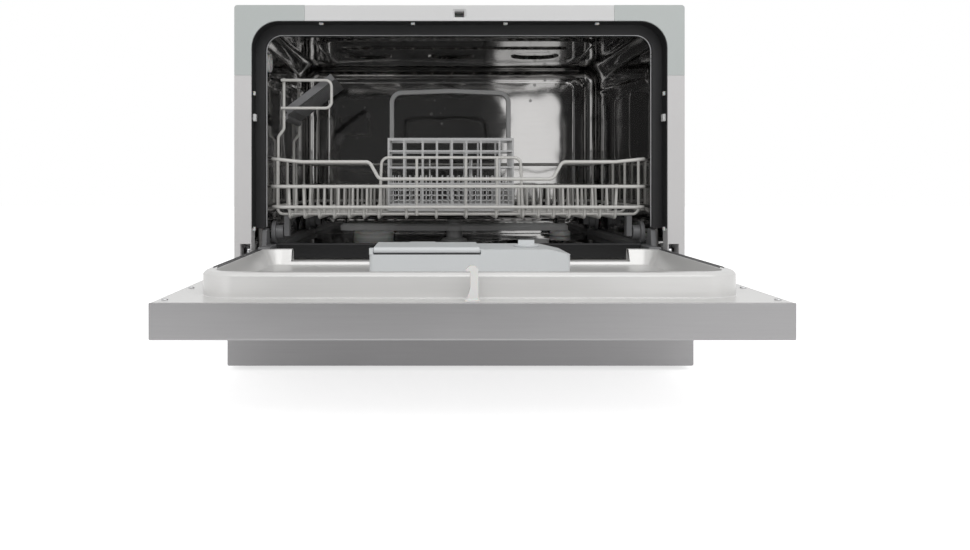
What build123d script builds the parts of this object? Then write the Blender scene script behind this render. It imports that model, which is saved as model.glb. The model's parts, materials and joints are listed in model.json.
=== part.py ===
from build123d import *

import math
import os

os.makedirs("parts", exist_ok=True)

# Countertop dishwasher, door open. Millimetres; X to the right, Y to the back, Z up.
# The origin is the middle of the whole footprint, on the surface that the feet stand on.

# ---- cabinet ----
width = 550.0
height = 438.0
cabinet_depth = 468.0
sheet = 1.5
trim_depth = 20.0
trim_wall = 2.5
trim_face = 3.0
side_frame = 21.0
head_height = 19.5
opening_radius = 33.0
outer_radius = 4.0
corner_reach = 86.0
corner_drop = 86.0
side_bar_foot = 151.0
hinge_block_foot = 124.0
hinge_slot_top = 146.0
seat_clear = 0.3
run_clear = 0.06

# ---- door and its hinge line ----
door_thickness = 32.0
door_gap = 1.5
door_top_gap = 2.0
door_bottom = 88.0
door_neck_top = 134.0
door_neck_inset = 7.0
control_height = 56.0
pivot_depth = 6.0
pivot_height = 127.0
pin_radius = 4.0
door_wall = 2.5
door_sheet = 1.2
liner_sheet = 1.5

# ---- liner pan ----
rim_inset = 30.5
rim_height = 22.5
rim_flat = 12.0
pan_floor_rise = 4.5
pan_slope = 9.0
rim_radius = 34.0
rim_start = 146.0
rim_top_gap = 28.0
spill_inset = 44.5

# ---- dispenser ----
dispenser_left = -97.0
dispenser_right = 105.0
dispenser_low = 231.0
dispenser_high = 311.0
dispenser_sink = 17.0
lid_right = 14.0
lid_thickness = 7.0
cup_depth = 24.0
hinge_rod = 1.6

# ---- tub ----
tub_inset = 29.0
ceiling_drop = 7.5
tub_floor = 134.0
tub_front = 33.0
tub_rear_gap = 77.5
tub_radius = 22.0
tub_foot_radius = 6.0
ledge_height = 8.2
ledge_width = 15.0
seal_lip = 5.0
seal_cover = 3.5
seal_foot = 164.0
seal_tuck = 2.5
seal_lap = 13.5
seal_front = 21.3
flange_inset = 3.0
flange_foot = 123.0
flange_drop = 1.8
press = 3.0
press_margin = 26.0
press_top_gap = 21.0
press_side_margin = 40.0

# ---- base and plinth ----
foot_rise = 12.0
plinth_bottom = 5.0
plinth_top = 83.5
plinth_sheet = 1.8
tray_bottom = 8.0
tray_top = 40.0
tray_wall = 2.5
foot_radius = 15.0
foot_inset = 50.0
front_foot_depth = 10.0
back_foot_inset = 38.0

# ---- water side ----
arm_depth = 215.0
arm_length = 168.0
arm_bottom = 150.0
arm_thickness = 10.0
hub_radius = 20.0
post_radius = 9.9
filter_x = 112.0
filter_depth = 170.0
filter_radius = 33.0
dish_radius = 62.0
dish_rim = 74.0
dish_drop = 10.0
sump_radius = 48.0
sump_bottom = 62.0
salt_x = -125.0
salt_rear_gap = 90.5
salt_radius = 32.0
float_side_gap = 70.0
float_rear_gap = 55.5
float_radius = 17.0

pump_x = -30.0
pump_z = 72.0
handle_rise = 13.0
valve_thread = 16.0
nut_depth = 62.0
nut_drop = 35.0
nut_radius = 12.0
lip_inset = 18.0
lip_foot = 126.0
guide_top = 163.0
guide_end = 49.0
guide_wall = 6.0

# ---- rack ----
wire = 1.9
rail = 2.2
rack_side_gap = 9.5
rack_front = 28.0
rack_rear_gap = 16.5
floor_wire_z = 176.6
low_rail_z = 190.0
mid_rail_z = 216.0
top_rail_z = 247.0
rail_rise = 4.0
dip_z = 225.5
dip_left = -100.0
dip_right = 118.0
dip_run = 12.0
rack_corner = 18.0
left_wire_gap = 22.5
left_last = -101.0
right_first = 82.0
right_wire_gap = 37.5
wires_per_side = 7
tine_height = 36.0
tine_foot = 15.0
fence_left = -101.0
fence_right = 83.0
fence_top = 253.0
fence_post_left = -53.0
fence_post_middle = 10.0
fence_post_right = 50.0
middle_first = -66.0
middle_pitch = 38.0
middle_count = 4
outer_wire_from = 195.0
wheel_radius = 14.5
wheel_front_depth = 58.0
wheel_rear_gap = 29.0
wheel_side_gap = 7.5
wheel_rim = 5.0
wheel_hub_radius = 9.5
wheel_hub = 9.0
axle_radius = 3.0
shelf_axis_gap = 11.5
shelf_axis_drop = 105.0
shelf_rod = 1.9
shelf_tilt = 37.0
shelf_width = 82.0
shelf_slots = 9
shelf_slot_pitch = 11.0
shelf_loop_wide = 62.0
shelf_low_drop = 94.0
shelf_high_drop = 58.0
shelf_reach = 120.0

# ---- cutlery basket ----
basket_left = -93.0
basket_right = 77.0
basket_front = 102.0
basket_back = 176.0
basket_foot = 182.6
basket_rim = 281.0
basket_wall = 2.4
basket_bar = 2.4
handle_top = 351.0
handle_wide = 6.0

# ---- lock, hinge and rear fittings ----
lock_drop = 10.7
lock_mouth_w = 17.0
lock_mouth_h = 11.0
lock_hole_w = 11.6
lock_hole_h = 7.2
pawl_depth = 20.5
slot_gap = 1.5
slot_wide = 12.0
bracket_gap = 2.3
bracket_plate = 3.0
pin_length = 10.4
arm_plate = 3.0
valve_inset = 85.0
valve_body_depth = 32.0
valve_rear_gap = 18.0
valve_z = 60.0
valve_hole = 20.0
valve_radius = 13.2
drain_inset = 145.0
drain_hole = 11.0
gland_inset = 35.0
gland_hole = 9.0
vent_z = 104.0
vent_pitch = 14.0
vent_count = 9
vent_height = 26.0
vent_width = 5.0

# ---- controls ----
button_count = 4
button_pitch = 32.0
button_inset = 177.0
button_radius = 6.0
button_drop = 28.0
button_travel = 1.5
window_inset = 110.0
window_wide = 78.0
window_tall = 18.0
grip_half = 62.0
grip_low_drop = 40.0
grip_high_drop = 15.0
grip_depth = 16.0

board_rise = 11.0

# ---- dispenser fittings ----
deck_z = 149.3
housing_z = 154.4
lid_axis_z = 153.1
lid_axis_in = 4.0
cap_x = 65.0
cap_plug = 11.0
vent_x = -30.0
hook_top = 150.5
arm_gap = 4.7

# ---- rack fittings ----
cross_front_gap = 27.0
cross_rear_gap = 26.0
cross_count = 5
tine_first = 90.0
tine_pitch = 74.0
tine_rows = 3
butt_gap = 0.3
weld_gap = 0.3
lean = 0.19
shelf_front = 60.0
cell_x = 19.0
cell_z = 21.0
cell_count_across = 8
cell_count_up = 4

# ---- worked out from the sizes above ----
half = width / 2
door_reach = height - pivot_height - pivot_depth - door_top_gap
opening_half = half - side_frame
opening_top = height - head_height
door_neck_half = half - door_neck_inset
rim_half = half - rim_inset
spill_half = rim_half - spill_inset
tub_half = half - tub_inset
tub_top = opening_top - ceiling_drop
tub_back = cabinet_depth - tub_rear_gap
seal_inner = tub_half - seal_lip
seal_outer = opening_half + seal_cover
flange_half = half - flange_inset
flange_top = height - flange_drop
foot_x = half - foot_inset
back_foot_depth = cabinet_depth - back_foot_inset
salt_depth = tub_back - salt_rear_gap
float_x = tub_half - float_side_gap
float_depth = tub_back - float_rear_gap
nut_z = tub_top - nut_drop
lip_half = tub_half - lip_inset
rack_half = tub_half - rack_side_gap
rack_back = tub_back - rack_rear_gap
left_first = left_wire_gap - rack_half
right_last = rack_half - right_wire_gap
wheel_back_depth = rack_back - wheel_rear_gap
wheel_outer = tub_half - wheel_side_gap
shelf_axis_x = shelf_axis_gap - rack_half
shelf_axis_z = tub_top - shelf_axis_drop
shelf_right = shelf_axis_x + shelf_loop_wide
shelf_low = tub_top - shelf_low_drop
shelf_high = tub_top - shelf_high_drop
lock_height = height - lock_drop
slot_inner = opening_half + slot_gap
slot_outer = slot_inner + slot_wide
bracket_x = opening_half + bracket_gap
arm_x = bracket_x + arm_gap
valve_x = half - valve_inset
drain_x = half - drain_inset
gland_x = half - gland_inset
button_first = half - button_inset
window_x = window_inset - half
front_y = (door_reach - cabinet_depth) / 2
pivot_y = front_y + pivot_depth
door_face = pivot_height - pivot_depth - door_gap
door_outer = door_face - door_thickness
door_top = pivot_height + door_reach + pivot_depth
rim_end = door_top - rim_top_gap
button_height = door_top - button_drop
grip_low = door_top - grip_low_drop
grip_high = door_top - grip_high_drop
cross_pitch = (rack_back - rack_front - cross_front_gap - cross_rear_gap) / (cross_count - 1)
cross_depths = [rack_front + cross_front_gap + index * cross_pitch for index in range(cross_count)]
tine_depths = [tine_first + index * tine_pitch for index in range(tine_rows)]
liner_back = door_face - liner_sheet
rim_z = door_face + rim_height
pan_z = door_face + pan_floor_rise
ledge_z = tub_floor + ledge_height
wheel_z = ledge_z + seat_clear + wheel_radius
cross_wire_z = floor_wire_z + 2 * wire
back_y = front_y + cabinet_depth
corner_x = half - corner_reach
corner_z = height - corner_drop


def depth(distance):
    """Y of a place this far behind the front frame's face."""
    return front_y + distance


def door_y(closed_height):
    """Y, on the open door, of what stands at this height when it is closed."""
    return pivot_y - (closed_height - pivot_height)


def save(piece, name):
    """Name a finished piece and write it."""
    piece.part.label = name
    export_step(piece.part, f"parts/{name}.step")


def slab(x0, x1, y0, y1, z0, z1, mode=Mode.ADD):
    """A rectangular block between two corners."""
    with Locations(((x0 + x1) / 2, (y0 + y1) / 2, (z0 + z1) / 2)):
        Box(abs(x1 - x0), abs(y1 - y0), abs(z1 - z0), mode=mode)


def bent_wire(points, radius, across, sides=6):
    """A wire with mitred bends that lies square to a direction, its flats facing along its own plane."""
    with BuildLine() as route:
        Polyline(*points)
    start = Plane(origin=route.line @ 0, x_dir=across, z_dir=route.line % 0)
    with BuildSketch(start) as section:
        RegularPolygon(radius, sides, major_radius=False)
    sweep(section.sketch, path=route.line, transition=Transition.RIGHT)


def round_wire(points, bends, radius, across):
    """The same kind of wire, whose bends of the given radii are turned in two equal steps."""
    corners = [Vector(*point) for point in points]
    route = [corners[0]]
    for index, corner in enumerate(corners[1:-1]):
        back = (corners[index] - corner).normalized()
        ahead = (corners[index + 2] - corner).normalized()
        turn = math.pi - math.radians(back.get_angle(ahead))
        bend = bends[index] if isinstance(bends, list) else bends
        middle = corner + (back + ahead).normalized() * (bend / math.cos(turn / 2))
        inwards = (corner - middle).normalized()
        sideways = (ahead - back).normalized()
        reach = bend / math.cos(turn / 4)
        for share in (-1 / 4, 1 / 4):
            swing = share * turn
            route.append(
                middle + inwards * (reach * math.cos(swing)) + sideways * (reach * math.sin(swing))
            )
    route.append(corners[-1])
    bent_wire(route, radius, across)


def facing_back(x, y, z):
    """A plane that looks to the back, with its own x along X."""
    return Plane(origin=(x, y, z), x_dir=(1, 0, 0), z_dir=(0, 1, 0))


def rod(start, direction, length, radius, mode=Mode.ADD):
    """A round rod from a point along a direction."""
    with BuildSketch(Plane(origin=start, z_dir=direction)) as section:
        Circle(radius)
    extrude(section.sketch, amount=length, mode=mode)


def drum(start, direction, length, radius, mode=Mode.ADD, sides=16):
    """A rod with flats, for what neither turns nor seats on a round face."""
    with BuildSketch(Plane(origin=start, z_dir=direction)) as section:
        RegularPolygon(radius, sides)
    extrude(section.sketch, amount=length, mode=mode)


def bowl(x, y, low, high, low_radius, high_radius, mode=Mode.ADD, sides=24):
    """A cone with flats between two heights."""
    flat = math.cos(math.pi / sides)
    taper = math.degrees(math.atan((low_radius - high_radius) * flat / (high - low)))
    with BuildSketch(Plane(origin=(x, y, low))) as foot:
        RegularPolygon(low_radius, sides)
    extrude(foot.sketch, amount=high - low, taper=taper, mode=mode)


# ======================= outer casing =======================


def make_top_panel():
    with BuildPart() as top_panel:
        with BuildSketch(Plane.XY.offset(height - sheet)):
            with Locations((0, (depth(trim_depth + seat_clear) + back_y - sheet) / 2)):
                Rectangle(width, back_y - sheet - depth(trim_depth + seat_clear))
        extrude(amount=sheet)
        edges = top_panel.edges().filter_by(Axis.Y).group_by(Axis.Z)[-1]
        chamfer(edges, sheet * 0.6)
    save(top_panel, "top_panel")


def make_side_panels():
    neck_z = door_face + 2.5
    with BuildPart() as panels:
        for side in (-1, 1):
            outer = side * half
            with BuildSketch(Plane.YZ.offset(outer)):
                with BuildLine():
                    Polyline(
                        (depth(trim_depth + seat_clear), height - sheet),
                        (back_y - sheet, height - sheet),
                        (back_y - sheet, foot_rise),
                        (front_y - door_gap - door_thickness + plinth_sheet, foot_rise),
                        (front_y - door_gap - door_thickness + plinth_sheet, plinth_top),
                        (front_y + 1, plinth_top),
                        (front_y + 1, neck_z),
                        (depth(trim_depth + seat_clear), neck_z),
                        close=True,
                    )
                make_face()
            extrude(amount=-side * sheet)
        rear = panels.edges().filter_by(Axis.X).group_by(Axis.Y)[-1]
        fillet(rear.group_by(Axis.Z)[0], 6)
    save(panels, "side_panels")


def make_back_panel():
    with BuildPart() as back_panel:
        with BuildSketch(Plane.XZ.offset(-back_y)) as outline:
            with Locations((0, (height - sheet - 0.2 + foot_rise) / 2)):
                Rectangle(width - 2 * sheet - 0.4, height - sheet - 0.2 - foot_rise)
            fillet(outline.vertices(), 5)
            with Locations((valve_x, valve_z)):
                Circle(valve_hole, mode=Mode.SUBTRACT)
            with Locations((drain_x, valve_z)):
                Circle(drain_hole, mode=Mode.SUBTRACT)
            with Locations((gland_x, valve_z)):
                Circle(gland_hole, mode=Mode.SUBTRACT)
            with Locations((0, vent_z)):
                with GridLocations(vent_pitch, 1, vent_count, 1):
                    Rectangle(vent_width, vent_height, mode=Mode.SUBTRACT)
        extrude(amount=sheet)
    save(back_panel, "back_panel")


def make_base_tray():
    tray_front = front_y - door_gap - door_thickness + plinth_sheet + 0.2
    tray_half = half - sheet - 0.6
    with BuildPart() as base_tray:
        with BuildSketch(Plane.XY.offset(tray_bottom)):
            with Locations((0, (tray_front + back_y - sheet) / 2)):
                Rectangle(2 * tray_half, back_y - sheet - tray_front)
        extrude(amount=tray_top - tray_bottom)
        fillet(base_tray.edges().filter_by(Axis.Z), 6)
        offset(amount=-tray_wall, openings=base_tray.faces().sort_by(Axis.Z)[-1])
        with BuildSketch(Plane.XY.offset(tray_bottom + tray_wall)):
            with Locations((0, depth(trim_depth + 180))):
                with GridLocations(foot_x * 2 / 3, 1, 4, 1):
                    Rectangle(2.5, 380)
        extrude(amount=8)
    save(base_tray, "base_tray")


def make_plinth():
    face_y = front_y - door_gap - door_thickness
    with BuildPart() as plinth:
        with BuildSketch(Plane.XZ.offset(-face_y - plinth_sheet)) as outline:
            with Locations((0, (plinth_bottom + plinth_top) / 2)):
                Rectangle(width, plinth_top - plinth_bottom)
            fillet(outline.vertices(), 2)
        extrude(amount=plinth_sheet)
        with BuildSketch(Plane.XY.offset(tray_top)):
            with Locations((0, face_y + plinth_sheet + 5)):
                with GridLocations(2 * (half - 4.5), 1, 2, 1):
                    Rectangle(1.8, 10)
        extrude(amount=plinth_top - tray_top - 3)
    save(plinth, "plinth_panel")


def make_feet():
    with BuildPart() as feet:
        for x in (-foot_x, foot_x):
            for y in (depth(front_foot_depth), depth(back_foot_depth)):
                bowl(x, y, 0, tray_bottom, foot_radius - 2, foot_radius, sides=16)
    save(feet, "feet")


# ======================= front frame =======================


def make_top_bar():
    lock_z = lock_height
    with BuildPart() as bar:
        with BuildSketch(Plane.YZ.offset(-corner_x)):
            with BuildLine():
                Polyline(
                    (front_y, height),
                    (depth(trim_depth), height),
                    (depth(trim_depth), height - sheet - 0.1),
                    (depth(tub_front), height - sheet - 0.1),
                    (depth(tub_front), height - sheet - 2.3),
                    (depth(trim_face), height - sheet - 2.3),
                    (depth(trim_face), opening_top + trim_wall),
                    (depth(seal_front - 0.5), opening_top + trim_wall),
                    (depth(seal_front - 0.5), opening_top),
                    (front_y, opening_top),
                    close=True,
                )
            make_face()
        extrude(amount=2 * corner_x)
        chamfer(bar.edges().filter_by(Axis.X).group_by(Axis.Y)[0].group_by(Axis.Z)[-1], 1)
        with BuildSketch(facing_back(0, depth(trim_face), lock_z)) as collar:
            RectangleRounded(lock_mouth_w + 5, lock_mouth_h + 5, 3)
        extrude(collar.sketch, amount=10)
        with BuildSketch(facing_back(0, front_y, lock_z)) as mouth:
            RectangleRounded(lock_mouth_w, lock_mouth_h, 2)
        with BuildSketch(facing_back(0, depth(3), lock_z)) as throat:
            RectangleRounded(lock_hole_w, lock_hole_h, 1)
        loft([mouth.sketch.faces()[0], throat.sketch.faces()[0]], mode=Mode.SUBTRACT)
        extrude(throat.sketch, amount=20, mode=Mode.SUBTRACT)
    save(bar, "front_top_bar")


def make_corners():
    with BuildPart() as corners:
        for side in (-1, 1):
            with BuildSketch(Plane.XZ.offset(-front_y)) as face:
                with BuildLine():
                    FilletPolyline(
                        (side * corner_x, height),
                        (side * half, height),
                        (side * half, corner_z),
                        (side * opening_half, corner_z),
                        (side * opening_half, opening_top),
                        (side * corner_x, opening_top),
                        radius=[outer_radius, 0, 0, opening_radius],
                    )
                    Line((side * corner_x, opening_top), (side * corner_x, height))
                make_face()
            extrude(face.sketch, amount=-trim_depth)
            with BuildSketch(Plane.XZ.offset(-front_y - trim_face)) as pocket:
                add(offset(face.sketch, amount=-trim_wall, mode=Mode.PRIVATE))
            extrude(pocket.sketch, amount=-trim_depth, mode=Mode.SUBTRACT)
            for x, z in ((corner_x + 14, height - 10), (half - 8, corner_z + 14)):
                drum((side * x, depth(trim_face), z), (0, 1, 0), tub_front - trim_face, 3.2, sides=8)
    save(corners, "corner_brackets")


def make_side_trims():
    with BuildPart() as bars:
        for side in (-1, 1):
            with BuildSketch(Plane.XY.offset(side_bar_foot)):
                with BuildLine():
                    Polyline(
                        (side * half, front_y),
                        (side * half, depth(trim_depth)),
                        (side * (half - sheet - 0.2), depth(trim_depth)),
                        (side * (half - sheet - 0.2), depth(tub_front)),
                        (side * (half - sheet - 2.6), depth(tub_front)),
                        (side * (half - sheet - 2.6), depth(trim_face)),
                        (side * (opening_half + trim_wall), depth(trim_face)),
                        (side * (opening_half + trim_wall), depth(seal_front - 0.5)),
                        (side * opening_half, depth(seal_front - 0.5)),
                        (side * opening_half, front_y),
                        close=True,
                    )
                make_face()
            extrude(amount=corner_z - side_bar_foot)
            with BuildSketch(Plane.XZ.offset(-front_y)):
                with BuildLine():
                    Polyline(
                        (side * opening_half, hinge_block_foot),
                        (side * opening_half, side_bar_foot),
                        (side * half, side_bar_foot),
                        (side * half, hinge_block_foot),
                        (side * slot_outer, hinge_block_foot),
                        (side * slot_outer, hinge_slot_top),
                        (side * slot_inner, hinge_slot_top),
                        (side * slot_inner, hinge_block_foot),
                        close=True,
                    )
                make_face()
            extrude(amount=-trim_depth)
            peg = (side * (half - 4.2), depth(trim_depth), side_bar_foot - 10)
            drum(peg, (0, 1, 0), tub_front - trim_depth, 2.4, sides=8)
    save(bars, "side_trims")


def make_hinge_brackets():
    with BuildPart() as brackets:
        for side in (-1, 1):
            inner = side * bracket_x
            with BuildSketch(Plane.YZ.offset(inner)):
                with BuildLine():
                    FilletPolyline(
                        (pivot_y - 4.5, pivot_height - 2),
                        (pivot_y - 4.5, pivot_height + 14),
                        (depth(tub_front), pivot_height + 18),
                        (depth(tub_front), pivot_height - 2),
                        radius=[4, 0],
                    )
                    Line((depth(tub_front), pivot_height - 2), (pivot_y + 5, pivot_height - 6.5))
                    Line((pivot_y + 5, pivot_height - 6.5), (pivot_y - 2, pivot_height - 6.5))
                    Line((pivot_y - 2, pivot_height - 6.5), (pivot_y - 4.5, pivot_height - 2))
                make_face()
            extrude(amount=side * bracket_plate)
            with BuildSketch(Plane.XZ.offset(-depth(tub_front) + 2)):
                with Locations((side * (bracket_x + 6), pivot_height + 8)):
                    Rectangle(12, 19)
            extrude(amount=-2)
            rod((side * bracket_x, pivot_y, pivot_height), (side, 0, 0), pin_length, pin_radius)
            head = (side * (bracket_x + pin_length - 1.4), pivot_y, pivot_height)
            drum(head, (side, 0, 0), 1.4, pin_radius + 1.6)
    save(brackets, "hinge_brackets")


def make_lock_body():
    with BuildPart() as lock:
        with BuildSketch(facing_back(0, depth(trim_face + 10), lock_height)) as outline:
            RectangleRounded(54, 12, 2)
        extrude(outline.sketch, amount=tub_front - trim_face - 10)
        slab(
            -8.5,
            8.5,
            depth(10),
            depth(tub_front - 1),
            lock_height - 4.4,
            lock_height + 4.4,
            Mode.SUBTRACT,
        )
        slab(
            -20,
            -8,
            depth(pawl_depth - 0.3),
            depth(pawl_depth + 4.3),
            lock_height - 2.5,
            lock_height + 2.5,
            Mode.SUBTRACT,
        )
    save(lock, "door_lock_body")


def make_lock_pawl():
    with BuildPart() as pawl:
        with BuildSketch(Plane.XY.offset(lock_height - 2.2)):
            with BuildLine():
                Polyline(
                    (-16, depth(pawl_depth)),
                    (-16, depth(pawl_depth + 4)),
                    (-5.9, depth(pawl_depth + 4)),
                    (-7.6, depth(pawl_depth)),
                    close=True,
                )
            make_face()
        extrude(amount=4.4)
    save(pawl, "door_lock_pawl")


# ======================= tub =======================


def tub_profile(grow):
    """The tub's section across X and Z, grown outwards by a wall."""
    top = tub_top + grow
    foot = tub_floor - grow
    with BuildSketch(Plane.XZ.offset(-depth(tub_front))) as profile:
        with Locations((0, (top + foot) / 2)):
            Rectangle(2 * (tub_half + grow), top - foot)
        fillet(profile.vertices().group_by(Axis.Y)[-1], tub_radius + grow)
        fillet(profile.vertices().group_by(Axis.Y)[0], tub_foot_radius + grow)
    return profile.sketch


def make_tub():
    back_low = tub_floor + press_margin
    back_high = tub_top - press_top_gap
    back_half = tub_half - press_side_margin
    with BuildPart() as tub:
        extrude(tub_profile(sheet), amount=-(tub_back + sheet - tub_front))
        with BuildSketch(Plane.XZ.offset(-depth(tub_front))) as flange:
            with Locations((0, (flange_top + flange_foot) / 2)):
                Rectangle(2 * flange_half, flange_top - flange_foot)
            fillet(flange.vertices(), 4)
        extrude(flange.sketch, amount=-sheet)
        extrude(tub_profile(0), amount=-(tub_back - tub_front), mode=Mode.SUBTRACT)
        with BuildSketch(Plane.XZ.offset(-depth(tub_back) + press)) as pad:
            with Locations((0, (back_low + back_high) / 2)):
                RectangleRounded(2 * back_half, back_high - back_low, 12)
        extrude(pad.sketch, amount=-press)
        with BuildSketch(Plane.XZ.offset(-depth(tub_back) + press - sheet)) as pocket:
            with Locations((0, (back_low + back_high) / 2)):
                RectangleRounded(2 * back_half - 2 * sheet, back_high - back_low - 2 * sheet, 11)
        extrude(pocket.sketch, amount=-press - sheet, mode=Mode.SUBTRACT)
        rim_r = dish_rim + sheet
        y = depth(filter_depth)
        low = tub_floor - dish_drop
        bowl(filter_x, y, low - sheet, tub_floor - sheet, dish_radius + sheet, rim_r, sides=32)
        bowl(filter_x, y, low, tub_floor + 0.5, dish_radius, dish_rim + 0.5, Mode.SUBTRACT, 32)
        drum((filter_x, y, low - 4), (0, 0, 1), 8, sump_radius - 2.5, Mode.SUBTRACT, 24)
        with Locations((salt_x, depth(salt_depth), tub_floor)):
            Cylinder(salt_radius - 0.5, 8, mode=Mode.SUBTRACT)
        drum((float_x, depth(float_depth), tub_floor - 4), (0, 0, 1), 8, 5, Mode.SUBTRACT, 12)
        drum((0, depth(arm_depth), tub_floor - 4), (0, 0, 1), 8, 8, Mode.SUBTRACT, 12)
        drum((-tub_half - 3, depth(nut_depth), nut_z), (1, 0, 0), 6, nut_radius - 2, Mode.SUBTRACT)
    save(tub, "tub")


def make_air_break():
    with BuildPart() as chamber:
        with BuildSketch(Plane.YZ.offset(-tub_half - sheet)):
            with BuildLine():
                Polyline(
                    (depth(nut_depth - 18), nut_z - 40),
                    (depth(nut_depth - 18), nut_z + 18),
                    (depth(300), nut_z + 18),
                    (depth(300), 170),
                    (depth(150), 170),
                    (depth(150), nut_z - 40),
                    close=True,
                )
            make_face()
        extrude(amount=-24)
        chamfer(chamber.edges().filter_by(Axis.X), 8)
        drum((-tub_half, depth(nut_depth), nut_z), (1, 0, 0), 4, nut_radius)
        drum((-tub_half - sheet, depth(nut_depth), nut_z), (1, 0, 0), sheet, nut_radius - 2)
        drum((-tub_half - sheet, depth(nut_depth), nut_z), (1, 0, 0), 6, nut_radius - 5, Mode.SUBTRACT, 12)
    save(chamber, "air_break")


def make_door_seal():
    with BuildPart() as seal:
        with BuildSketch(Plane.XZ.offset(-depth(seal_front))) as band:
            with Locations((0, (seal_foot + opening_top + seal_tuck) / 2)):
                Rectangle(2 * seal_outer, opening_top + seal_tuck - seal_foot)
            fillet(band.vertices().group_by(Axis.Y)[-1], opening_radius + 3)
        with BuildSketch(Plane.XZ.offset(-depth(seal_front))) as mouth:
            with Locations((0, (seal_foot - 30 + opening_top - seal_lap) / 2)):
                Rectangle(2 * seal_inner, opening_top - seal_lap - seal_foot + 30)
            fillet(mouth.vertices().group_by(Axis.Y)[-1], opening_radius - 13)
        extrude(band.sketch, amount=-(tub_front - seal_front))
        extrude(mouth.sketch, amount=-(tub_front - seal_front), mode=Mode.SUBTRACT)
    save(seal, "door_seal")


def make_lip_seal():
    with BuildPart() as lip:
        with BuildSketch(Plane.YZ.offset(-lip_half)):
            with BuildLine():
                Polyline(
                    (depth(tub_front), lip_foot),
                    (depth(tub_front), rim_start - 3),
                    (depth(tub_front - 8), rim_start - 0.6),
                    (depth(tub_front - 10), rim_start - 2.4),
                    (depth(tub_front - 4), tub_floor + 2),
                    (depth(tub_front - 2), lip_foot),
                    close=True,
                )
            make_face()
        extrude(amount=2 * lip_half)
    save(lip, "lip_seal")


def wheel_strip(side, front, back):
    """A strip along the tub's floor, its lower edge cut to clear the corner of the tub."""
    with BuildSketch(Plane.XZ.offset(-front)) as strip:
        with BuildLine():
            Polyline(
                (side * (tub_half - ledge_width), tub_floor),
                (side * (tub_half - tub_foot_radius - 0.5), tub_floor),
                (side * tub_half, tub_floor + tub_foot_radius + 0.5),
                (side * tub_half, ledge_z),
                (side * (tub_half - ledge_width), ledge_z),
                close=True,
            )
        make_face()
    extrude(strip.sketch, amount=front - back)


def make_rack_guides():
    """The front guides outside the tub and the strips along its floor that the wheels run on."""
    with BuildPart() as guides:
        for side in (-1, 1):
            inner = side * (tub_half - ledge_width)
            outer = side * tub_half
            slab(inner, outer, front_y - 1, depth(tub_front), tub_floor, ledge_z)
            with BuildSketch(Plane.YZ.offset(side * (tub_half - guide_wall))):
                with BuildLine():
                    Polyline(
                        (depth(seal_front), ledge_z),
                        (depth(seal_front + 4), guide_top),
                        (depth(tub_front + 8), guide_top),
                        (depth(guide_end), ledge_z),
                        close=True,
                    )
                make_face()
            extrude(amount=side * guide_wall)
        fillet(guides.edges().filter_by(Axis.X).group_by(Axis.Z)[-1], 3)
        for side in (-1, 1):
            wheel_strip(side, depth(tub_front), depth(guide_end))
            wheel_strip(side, depth(guide_end) + butt_gap, depth(tub_back) - butt_gap)
    save(guides, "rack_guides")


# ======================= water side =======================


def make_sump():
    under = tub_floor - dish_drop - sheet
    with BuildPart() as sump:
        y = depth(filter_depth)
        drum((filter_x, y, under - 3), (0, 0, 1), 3, dish_radius - 2, sides=24)
        bowl(filter_x, y, sump_bottom, under, sump_radius - 4, sump_radius)
        for side in (-1, 1):
            slab(
                filter_x + side * (sump_radius - 12),
                filter_x + side * (sump_radius + 4),
                depth(filter_depth) - 16,
                depth(filter_depth) + 16,
                pump_z - 14,
                pump_z + 14,
            )
        floor = sump_bottom + 3
        drum((filter_x, y, floor), (0, 0, 1), under - floor + 1, sump_radius - 6.5, Mode.SUBTRACT, 24)
    save(sump, "sump")


def make_filter_plate():
    with BuildPart() as plate:
        place = (filter_x, depth(filter_depth), tub_floor - dish_drop)
        drum(place, (0, 0, 1), 2, dish_radius - 0.3, sides=32)
        drum(place, (0, 0, 1), 2, filter_radius + 0.8, Mode.SUBTRACT, 24)
        with Locations((filter_x, depth(filter_depth), tub_floor - dish_drop + 1)):
            with PolarLocations((dish_radius + filter_radius) / 2, 20):
                Box(16, 2.2, 2, mode=Mode.SUBTRACT)
    save(plate, "filter_plate")


def make_filter_cup():
    cup_top = tub_floor - dish_drop + 3.5
    with BuildPart() as cup:
        y = depth(filter_depth)
        bowl(filter_x, y, sump_bottom + 12, cup_top - 8, filter_radius - 5, filter_radius - 1)
        rod((filter_x, y, cup_top - 8), (0, 0, 1), 8, filter_radius)
        with BuildSketch(Plane(origin=(filter_x, depth(filter_depth), cup_top))) as grip:
            Rectangle(44, 9)
            chamfer(grip.vertices(), 3)
        extrude(grip.sketch, amount=handle_rise)
        chamfer(cup.faces().sort_by(Axis.Z)[-1].edges(), 1.5)
    save(cup, "filter_cup")


def make_spray_post():
    with BuildPart() as post:
        y = depth(arm_depth)
        crown = arm_bottom + arm_thickness + 2.4
        drum((0, y, tub_floor), (0, 0, 1), 3, 19, sides=20)
        bowl(0, y, tub_floor + 3, tub_floor + 6, 19, 12, sides=20)
        drum((0, y, tub_floor + 6), (0, 0, 1), arm_bottom - 0.4 - tub_floor - 6, 12, sides=20)
        rod((0, y, arm_bottom - 0.4), (0, 0, 1), crown - arm_bottom + 0.4, post_radius)
        bowl(0, y, crown, crown + 3.1, 13, 11, sides=20)
        bent_wire(
            [
                (pump_x + 20, depth(filter_depth), pump_z + 40),
                (pump_x + 20, depth(filter_depth), tub_floor - 12),
                (0, depth(arm_depth), tub_floor - 12),
                (0, depth(arm_depth), tub_floor - sheet),
            ],
            6.5,
            (1, 0, 0),
        )
    save(post, "spray_arm_post")


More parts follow.
